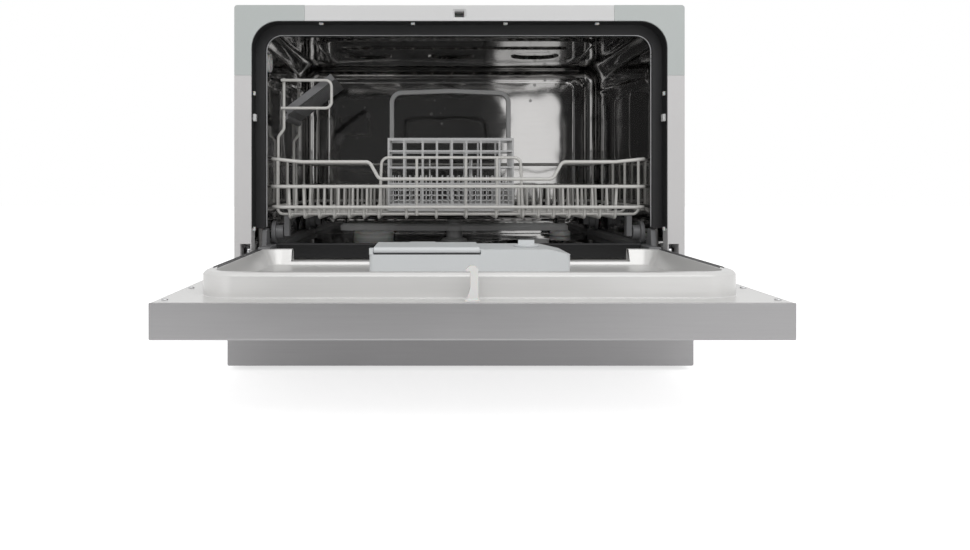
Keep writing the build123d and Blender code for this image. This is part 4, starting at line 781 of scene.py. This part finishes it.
class DISH_OT_water_side(Maker, bpy.types.Operator):
    """Rounds the spray arm, the filter, the salt cap and the float inside the tub."""

    bl_idname = "dish.water_side"
    bl_label = "Inside the tub"

    def make(self, scene):
        rounded("spray_arm spray_arm_post filter_cup filter_plate salt_cap float air_break", 0.0005)


# ---- rack and basket

WIRE, RAIL, WELD = 1.9, 2.2, 0.3
RACK_HALF, RACK_FRONT, RACK_BACK = 236.5, 28.0, 374.0
FLOOR_Z, LOW_Z, MID_Z, TOP_Z, RAIL_RISE = 176.6, 190.0, 216.0, 247.0, 4.0
CROSS_Z = FLOOR_Z + 2 * WIRE
CROSS_DEPTHS = (55.0, 128.25, 201.5, 274.75, 348.0)
TINE_DEPTHS = (90.0, 164.0, 238.0)
LEAN = 0.19
# A tine is this much thinner than a floor wire.
TINE_SHARE = 0.84


def side_wires(first, last, count=7):
    """X of the lengthwise wires on one side."""
    return [first + (last - first) * i / (count - 1) for i in range(count)]


LEFT_WIRES = side_wires(-214.0, -101.0)
RIGHT_WIRES = side_wires(82.0, 199.0)
LENGTHWISE = LEFT_WIRES + [-66.0, -28.0, 10.0, 48.0] + RIGHT_WIRES
# The floor wires that stand further out than this reach up to the middle rail in front.
TALL_FROM = 195


def front_lean(z):
    """Depth of the leaning front wires' middle at a height."""
    return RACK_FRONT + RAIL + WIRE + WELD + (MID_Z - z) * LEAN


def floor_paths():
    """The lengthwise wires, turned up at both ends."""
    paths = []
    rear = depth(RACK_BACK - RAIL - WIRE)
    for x in LENGTHWISE:
        top = MID_Z + 3 if abs(x) > TALL_FROM else LOW_Z + 3
        paths.append(([(x, depth(front_lean(top)), top), (x, depth(front_lean(FLOOR_Z + 1)), FLOOR_Z),
                       (x, rear, FLOOR_Z), (x, rear, MID_Z + 3)], 6.0))
    return paths


def cross_paths():
    """The wires across, and the posts, loop and rod that carry the cup shelf."""
    wall = RACK_HALF - RAIL - WIRE
    top = TOP_Z + RAIL_RISE + 2
    paths = [([(-wall, depth(d), top), (-wall, depth(d), CROSS_Z), (wall, depth(d), CROSS_Z),
               (wall, depth(d), top)], 8.0) for d in CROSS_DEPTHS]
    for d in (60.0, 180.0):
        paths.append(([(-wall, depth(d), CROSS_Z + 6), (-wall, depth(d), 280), (-225, depth(d), 290),
                       (-225, depth(d), 356)], 7.0))
    front = depth(60) - 2 * WIRE
    paths.append(([(-228, front, 353), (-163, front, 353), (-163, front, 317), (-228, front, 317)], 8.0))
    paths.append(([(-225, depth(60) + WIRE, 306), (-225, depth(180) - WIRE, 306)], 0.0))
    return paths


def rail_paths():
    """The two level rails and the top rail with its dip in front."""
    back = depth(RACK_BACK)
    paths = []
    for z in (LOW_Z, MID_Z):
        front = depth(RACK_FRONT + (MID_Z - z) * LEAN)
        paths.append(([(0.3, back, z), (RACK_HALF, back, z), (RACK_HALF, front, z), (-RACK_HALF, front, z),
                       (-RACK_HALF, back, z), (-0.3, back, z)], 18.0))
    high = TOP_Z + RAIL_RISE
    front = depth(RACK_FRONT)
    left, right, drop, run = -100.0, 118.0, 225.5, 12.0
    paths.append(([
        (0.3, back, high), (RACK_HALF, back, high), (RACK_HALF, front, high), (RACK_HALF - 40, front, TOP_Z),
        (right + run, front, TOP_Z), (right, front, drop), (left, front, drop), (left - run, front, TOP_Z),
        (-RACK_HALF + 40, front, TOP_Z), (-RACK_HALF, front, high), (-RACK_HALF, back, high),
        (-0.3, back, high)], [18, 18, 30, 8, 8, 8, 8, 30, 18, 18]))
    return paths


def fence_paths():
    """The loop that holds the basket, with its uprights."""
    y = depth(CROSS_DEPTHS[0] - 2 * WIRE - WELD)
    foot, top = CROSS_Z - WIRE + WELD, 253.0
    paths = [([(-101, y, foot), (-98, y, top), (80, y, top), (83, y, foot)], 9.0)]
    return paths + [([(x, y, foot), (x, y, top)], 0.0) for x in (-53.0, 10.0, 50.0)]


def tine_paths():
    """The bent tines that hold the plates."""
    foot, tall = FLOOR_Z + WIRE + 0.3, 36.0
    return [([(x, depth(d) - 7.5, foot), (x, depth(d) - 0.6, foot + tall), (x, depth(d) + 0.6, foot + tall),
              (x, depth(d) + 7.5, foot)], 1.7)
            for x in LEFT_WIRES + RIGHT_WIRES for d in TINE_DEPTHS]


class DISH_OT_rack(Maker, bpy.types.Operator):
    """Makes the rack's coated wires with round sections and bends, and the beads of their welds."""

    bl_idname = "dish.rack"
    bl_label = "Rack wires"

    def make(self, scene):
        rack = scene.dish_rack
        for name, paths, radius, nodes in (
                ("floor_wires", floor_paths(), rack.wire, ["rack_floor_wires"]),
                ("cross_wires", cross_paths(), rack.wire, ["rack_cross_wires"]),
                ("rails", rail_paths(), rack.rail, ["rack_rails"]),
                ("basket_fence", fence_paths(), rack.wire, ["rack_fence"]),
                ("plate_tines", tine_paths(), rack.wire * TINE_SHARE, ["rack_tines"])):
            mesh = grown(name, paths_mesh(name, paths), bent_wires(), Radius=radius, Bend_Steps=rack.turns,
                         Sides=rack.sides, Finish=finishes()["coated_wire"])
            piece = to_object(name, mesh, "rack", "coated_wire", 40)
            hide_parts(*nodes)
        spots = [((x, depth(d), FLOOR_Z + WIRE), (0, 0, 1)) for x in LENGTHWISE for d in CROSS_DEPTHS]
        wall = RACK_HALF - RAIL
        for d in CROSS_DEPTHS:
            for z in (LOW_Z, MID_Z, TOP_Z + RAIL_RISE):
                spots += [((side * wall, depth(d), z), (side, 0, 0)) for side in (-1, 1)]
        spots += [((x, depth(front_lean(LOW_Z) - WIRE), LOW_Z), (0, 0, 1)) for x in LENGTHWISE]
        bead = lathe_mesh("bead", [(0, -1), (0.75, -0.62), (1, 0), (0.75, 0.62), (0, 1)], 8)
        placed("weld_beads", bead, spots, "coated_wire", "rack", smooth=80, size=rack.bead)
        rounded("wheel_axles wheel_front_left wheel_front_right wheel_rear_left wheel_rear_right cup_shelf",
                0.0005)


# Where the basket's strong ribs stand, from its left end, and how far its level bars lie under the rim.
RIB_PLACES = (0, 20.7, 45.7, 65.2, 85.3, 104.8, 124.3, 149.3)
LEVELS = (14, 36, 58)
# The basket's wall, its rim band, its closed foot, and the step of the fine bars low down in its walls.
BASKET_WALL, BAND, FOOT, FINE_STEP = 2.4, 3.6, 10, 7.4


class DISH_OT_basket(Maker, bpy.types.Operator):
    """Makes the cutlery basket: rim, ribs, fine lattice, partitions, floor and handle."""

    bl_idname = "dish.basket"
    bl_label = "Cutlery basket"

    def make(self, scene):
        rack = scene.dish_rack
        paint = finish("basket_light", rack.basket_colour, 0.4, grain=1300, relief=0.03, drift=0.04,
                       fleck=0.02)
        low, high = (Vector(corner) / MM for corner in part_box("cutlery_basket"))
        fine, rib, wall = rack.bar / MM, rack.rib / MM, BASKET_WALL
        wide, long, tall = high - low
        mid = (low + high) / 2
        inside = long - 2 * wall
        bar_z, mesh_z = low.z + 28, low.z + 14
        shape = bmesh.new()

        def row(start, size, step=(1, 0, 0), count=1):
            mesh = bars("row", start, size, paint, step, count)
            shape.from_mesh(mesh)
            bpy.data.meshes.remove(mesh)

        ribs = [low.x + rib / 2 + reach for reach in RIB_PLACES] + [high.x - rib / 2]
        pitch = (long - rib) / 4
        for y, inset in ((low.y + wall / 2, wall * 0.2), (high.y - wall / 2, -wall * 0.2)):
            for x in ribs:
                row((x, y, mid.z), (rib, wall * 0.96, tall - 2))
            row((mid.x, y, high.z - BAND / 2), (wide, wall, BAND))
            for level in LEVELS:
                row((mid.x, y, high.z - BAND - level), (wide - 0.4, wall * 0.9, rib * 0.9))
            row((low.x + FINE_STEP, y + inset, bar_z), (fine, wall * 0.5, 40), (FINE_STEP, 0, 0), 22)
            row((mid.x, y + inset, mesh_z), (wide - 1, wall * 0.5, fine), (0, 0, 7), 5)
            row((mid.x, y, low.z + FOOT / 2), (wide, wall, FOOT))
        for x in (low.x + wall / 2, high.x - wall / 2):
            row((x, low.y + rib / 2 + pitch, mid.z), (wall * 0.96, rib, tall - 2), (0, pitch, 0), 3)
            row((x, mid.y, high.z - BAND / 2), (wall, inside, BAND))
            for level in LEVELS:
                row((x, mid.y, high.z - BAND - level), (wall * 0.9, inside, rib * 0.9))
            row((x, low.y + FINE_STEP, bar_z), (wall * 0.5, fine, 40), (0, FINE_STEP, 0), 9)
            row((x, mid.y, mesh_z), (wall * 0.5, inside, fine), (0, 0, 7), 5)
            row((x, mid.y, low.z + FOOT / 2), (wall, inside, FOOT))
        for index in (1, 2):
            x = low.x + wide / 3 * index
            row((x, low.y + 8, low.z + 38), (wall * 0.8, fine, 72), (0, 9.2, 0), 7)
            row((x, mid.y, low.z + 10), (wall * 0.8, long - 2, fine), (0, 0, 12), 6)
        row((low.x + 6, mid.y, low.z + 1.2), (fine * 1.6, long - 2, 2.4), (7.2, 0, 0), 23)
        row((mid.x, low.y + 6, low.z + 1.2), (wide - 2, fine * 1.6, 2.4), (0, 9, 0), 8)
        mesh = finished(shape, "basket_lattice")
        piece = to_object("basket_lattice", mesh, "cutlery_basket", "basket_grey", paint=paint)
        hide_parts("cutlery_basket")
        rounded("basket_handle", 0.0009, segments=3)


# ---- fasteners and clips

# Half the distance between the door's screws, the face that they sit on, and their rows.
SCREW_HALF, SCREW_SEAT, SCREW_ROWS = 267, 119.5, (-367, -288)


def screw_mesh(radius, dome):
    """A domed screw head with a cross-shaped recess, standing on Z = 0."""
    shape = bmesh.new()
    steps = 16
    arm, cut = radius * 0.5, radius * 0.13
    rings = [circle(shape, radius * size, dome * height, steps)
             for size, height in ((1, 0), (1, 0.45), (0.88, 0.85), (0.62, 1))]
    bridged(shape, rings, True)
    shape.faces.new(reversed(rings[0]))
    outline = [(arm, cut), (cut, cut), (cut, arm), (-cut, arm), (-cut, cut), (-arm, cut), (-arm, -cut),
               (-cut, -cut), (-cut, -arm), (cut, -arm), (cut, -cut), (arm, -cut)]
    top = [shape.verts.new((x, y, dome)) for x, y in outline]
    floor = [shape.verts.new((x * 0.8, y * 0.8, dome * 0.35)) for x, y in outline]
    rim = [shape.edges.get((rings[3][i], rings[3][(i + 1) % steps])) for i in range(steps)]
    inner = [shape.edges.new((top[i], top[(i + 1) % 12])) for i in range(12)]
    bmesh.ops.triangle_fill(shape, use_beauty=True, use_dissolve=False, edges=rim + inner)
    for face in [f for f in shape.faces if all(v in top for v in f.verts)]:
        shape.faces.remove(face)
    bridged(shape, [top, floor], True)
    shape.faces.new(floor)
    return finished(shape, "screw")


class DISH_OT_fasteners(Maker, bpy.types.Operator):
    """Sets the screws of the door and the back, and the small clips round the mouth."""

    bl_idname = "dish.fasteners"
    bl_label = "Screws and clips"

    def make(self, scene):
        head = scene.dish_fasteners.head
        sides = (-1, 1)
        spots = [((side * SCREW_HALF, y, SCREW_SEAT), (0, 0, 1)) for side in sides for y in SCREW_ROWS]
        placed("door_screws", screw_mesh(head, scene.dish_fasteners.dome), spots, "hinge_steel", "door")
        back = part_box("back_panel")[1][1] / MM - BACK_SKIN
        spots = [((x, back, z), (0, 1, 0)) for x in (-262, -130, 0, 130, 262) for z in (22, 428)]
        spots += [((side * 262, back, z), (0, 1, 0)) for side in sides for z in (150, 290)]
        placed("back_screws", screw_mesh(head, BACK_SKIN * MM), spots, "hinge_steel", "cabinet")
        inner, y = HALF - 21, -72
        spots = [((side * inner, y, z), (-side, 0, 0)) for side in sides for z in (331, 164)]
        spots += [((x, y, 418.5), (0, 0, -1)) for x in (-170, -57, 57, 170)]
        clip = block_mesh("clip", (0.005, 0.005, 0.0028), 0.0006)
        placed("mouth_clips", clip, spots, "white_plastic", "cabinet")
        spots = [((side * inner, y, 301), (-side, 0, 0)) for side in sides]
        holder = block_mesh("holder", (0.009, 0.009, 0.004), 0.0008)
        placed("seal_holders", holder, spots, "frame_light", "cabinet")


class DISH_OT_finishes(Maker, bpy.types.Operator):
    """Gives every carried-over node the finish of its slot."""

    bl_idname = "dish.finishes"
    bl_label = "Finishes of the other nodes"

    def make(self, scene):
        paints = finishes()
        for node, piece in frame["nodes"].items():
            for slot in piece.material_slots:
                slot.material = paints[SLOT_OF[node]]


# ---- stage

FLOOR_HALF = 6.0
# The dark cards: two opposite corners of each.
CARDS = (("far_card", (-0.72, -1.5, 0.0), (0.25, -1.5, 1.0)),
         ("right_card", (0.47, -1.5, 0.0), (0.62, -1.5, 0.8)),
         ("near_card", (-0.28, -0.80, 0.0), (0.22, -0.80, 0.15)))


def seen_directly(tree):
    """1 where the camera, a reflection or a clear piece sees a surface, otherwise 0."""
    rays = add(tree, "ShaderNodeLightPath").outputs
    seen = maths(tree, "MAXIMUM", rays["Is Camera Ray"], rays["Is Glossy Ray"])
    return maths(tree, "MAXIMUM", seen, rays["Is Transmission Ray"])


def stage_sheet(name, corners, colour, rough):
    """A flat dull sheet of the stage; gives the object, its material's tree and the Principled node."""
    mesh = bpy.data.meshes.new(name)
    mesh.from_pydata(corners, [], [(0, 1, 2, 3)])
    paint, shader = principled(name, Base_Color=(*colour, 1), Roughness=rough, Specular_IOR_Level=0.0)
    mesh.materials.append(paint)
    return linked(name, mesh), paint.node_tree, shader


class DISH_OT_stage(Maker, bpy.types.Operator):
    """Makes the floor, the light and the camera."""

    bl_idname = "dish.stage"
    bl_label = "Stage"

    def lamp(self, name, place, target, size, power):
        """A rectangular lamp at a place, turned to its target."""
        data = bpy.data.lights.new(name, "AREA")
        data.shape = "RECTANGLE"
        data.size, data.size_y = size
        data.energy = power
        lamp = linked(name, data)
        lamp.location = place
        lamp.rotation_euler = (Vector(target) - Vector(place)).to_track_quat("-Z", "Y").to_euler()

    def card(self, name, low, high, shade):
        """A dark upright sheet that only reflections show, so that polished metal has a dark side."""
        corners = [low, (high[0], low[1], low[2]), high, (low[0], low[1], high[2])]
        sheet = stage_sheet(name, corners, [shade] * 3, 1.0)[0]
        sheet.visible_camera = sheet.visible_diffuse = sheet.visible_shadow = False

    def make(self, scene):
        stage = scene.dish_stage
        world = bpy.data.worlds.new("studio")
        scene.world = world
        world.use_nodes = True
        tree = world.node_tree
        sky = tree.nodes["Background"]
        sky.inputs["Color"].default_value = (1, 1, 1, 1)
        level = maths(tree, "MULTIPLY", seen_directly(tree), 1.0 - stage.sky)
        tree.links.new(maths(tree, "ADD", level, stage.sky), sky.inputs["Strength"])
        corners = [(x * FLOOR_HALF, y * FLOOR_HALF, 0) for x, y in ((-1, -1), (1, -1), (1, 1), (-1, 1))]
        floor, tree, shader = stage_sheet("floor", corners, stage.floor, 0.9)
        plug(tree, shader.inputs["Emission Strength"],
             maths(tree, "MULTIPLY", seen_directly(tree), stage.glow))
        shader.inputs["Emission Color"].default_value = (1, 1, 1, 1)
        for name, low, high in CARDS:
            self.card(name, low, high, stage.card_shade)
        self.lamp("key_lamp", (0.3, -1.7, 1.9), (0, 0, 0.2), (2.2, 1.4), stage.key)
        self.lamp("mouth_lamp", (-0.1, -1.9, 0.5), (0, 0.1, 0.28), (1.6, 0.8), stage.mouth)
        data = bpy.data.cameras.new("camera")
        data.lens = stage.lens
        data.sensor_width = 36
        data.shift_x, data.shift_y = stage.shift_x, stage.shift_y
        data.clip_start = 0.05
        camera = linked("camera", data)
        camera.location = stage.eye
        camera.rotation_euler = (math.radians(90), 0, 0)
        scene.camera = camera
        scene.view_settings.view_transform = "Standard"


OPERATORS = (DISH_OT_finishes, DISH_OT_casing, DISH_OT_front_frame, DISH_OT_door, DISH_OT_dispenser,
             DISH_OT_tub, DISH_OT_water_side, DISH_OT_rack, DISH_OT_basket, DISH_OT_fasteners, DISH_OT_stage)
SETTINGS = {"dish_casing": CasingSettings, "dish_tub": TubSettings, "dish_rack": RackSettings,
            "dish_fasteners": FastenerSettings, "dish_stage": StageSettings}


class DISH_PT_panel(bpy.types.Panel):
    """Lists the pieces of the dishwasher and their settings."""

    bl_idname = "DISH_PT_panel"
    bl_label = "Countertop dishwasher"
    bl_space_type = "VIEW_3D"
    bl_region_type = "UI"
    bl_category = "Dishwasher"

    def draw(self, context):
        for name, group in SETTINGS.items():
            box = self.layout.box()
            for key in group.__annotations__:
                box.prop(getattr(context.scene, name), key)
        for operator in OPERATORS:
            self.layout.operator(operator.bl_idname)


def register():
    for group in (*SETTINGS.values(), *OPERATORS, DISH_PT_panel):
        bpy.utils.register_class(group)
    for name, group in SETTINGS.items():
        setattr(bpy.types.Scene, name, PointerProperty(type=group))


def unregister():
    for name in SETTINGS:
        delattr(bpy.types.Scene, name)
    for group in (DISH_PT_panel, *reversed(OPERATORS), *SETTINGS.values()):
        bpy.utils.unregister_class(group)


def main():
    """Registers the add-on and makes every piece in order."""
    register()
    for operator in OPERATORS:
        call = getattr(bpy.ops.dish, operator.bl_idname.split(".")[1])
        call()


if __name__ == "__main__":
    main()
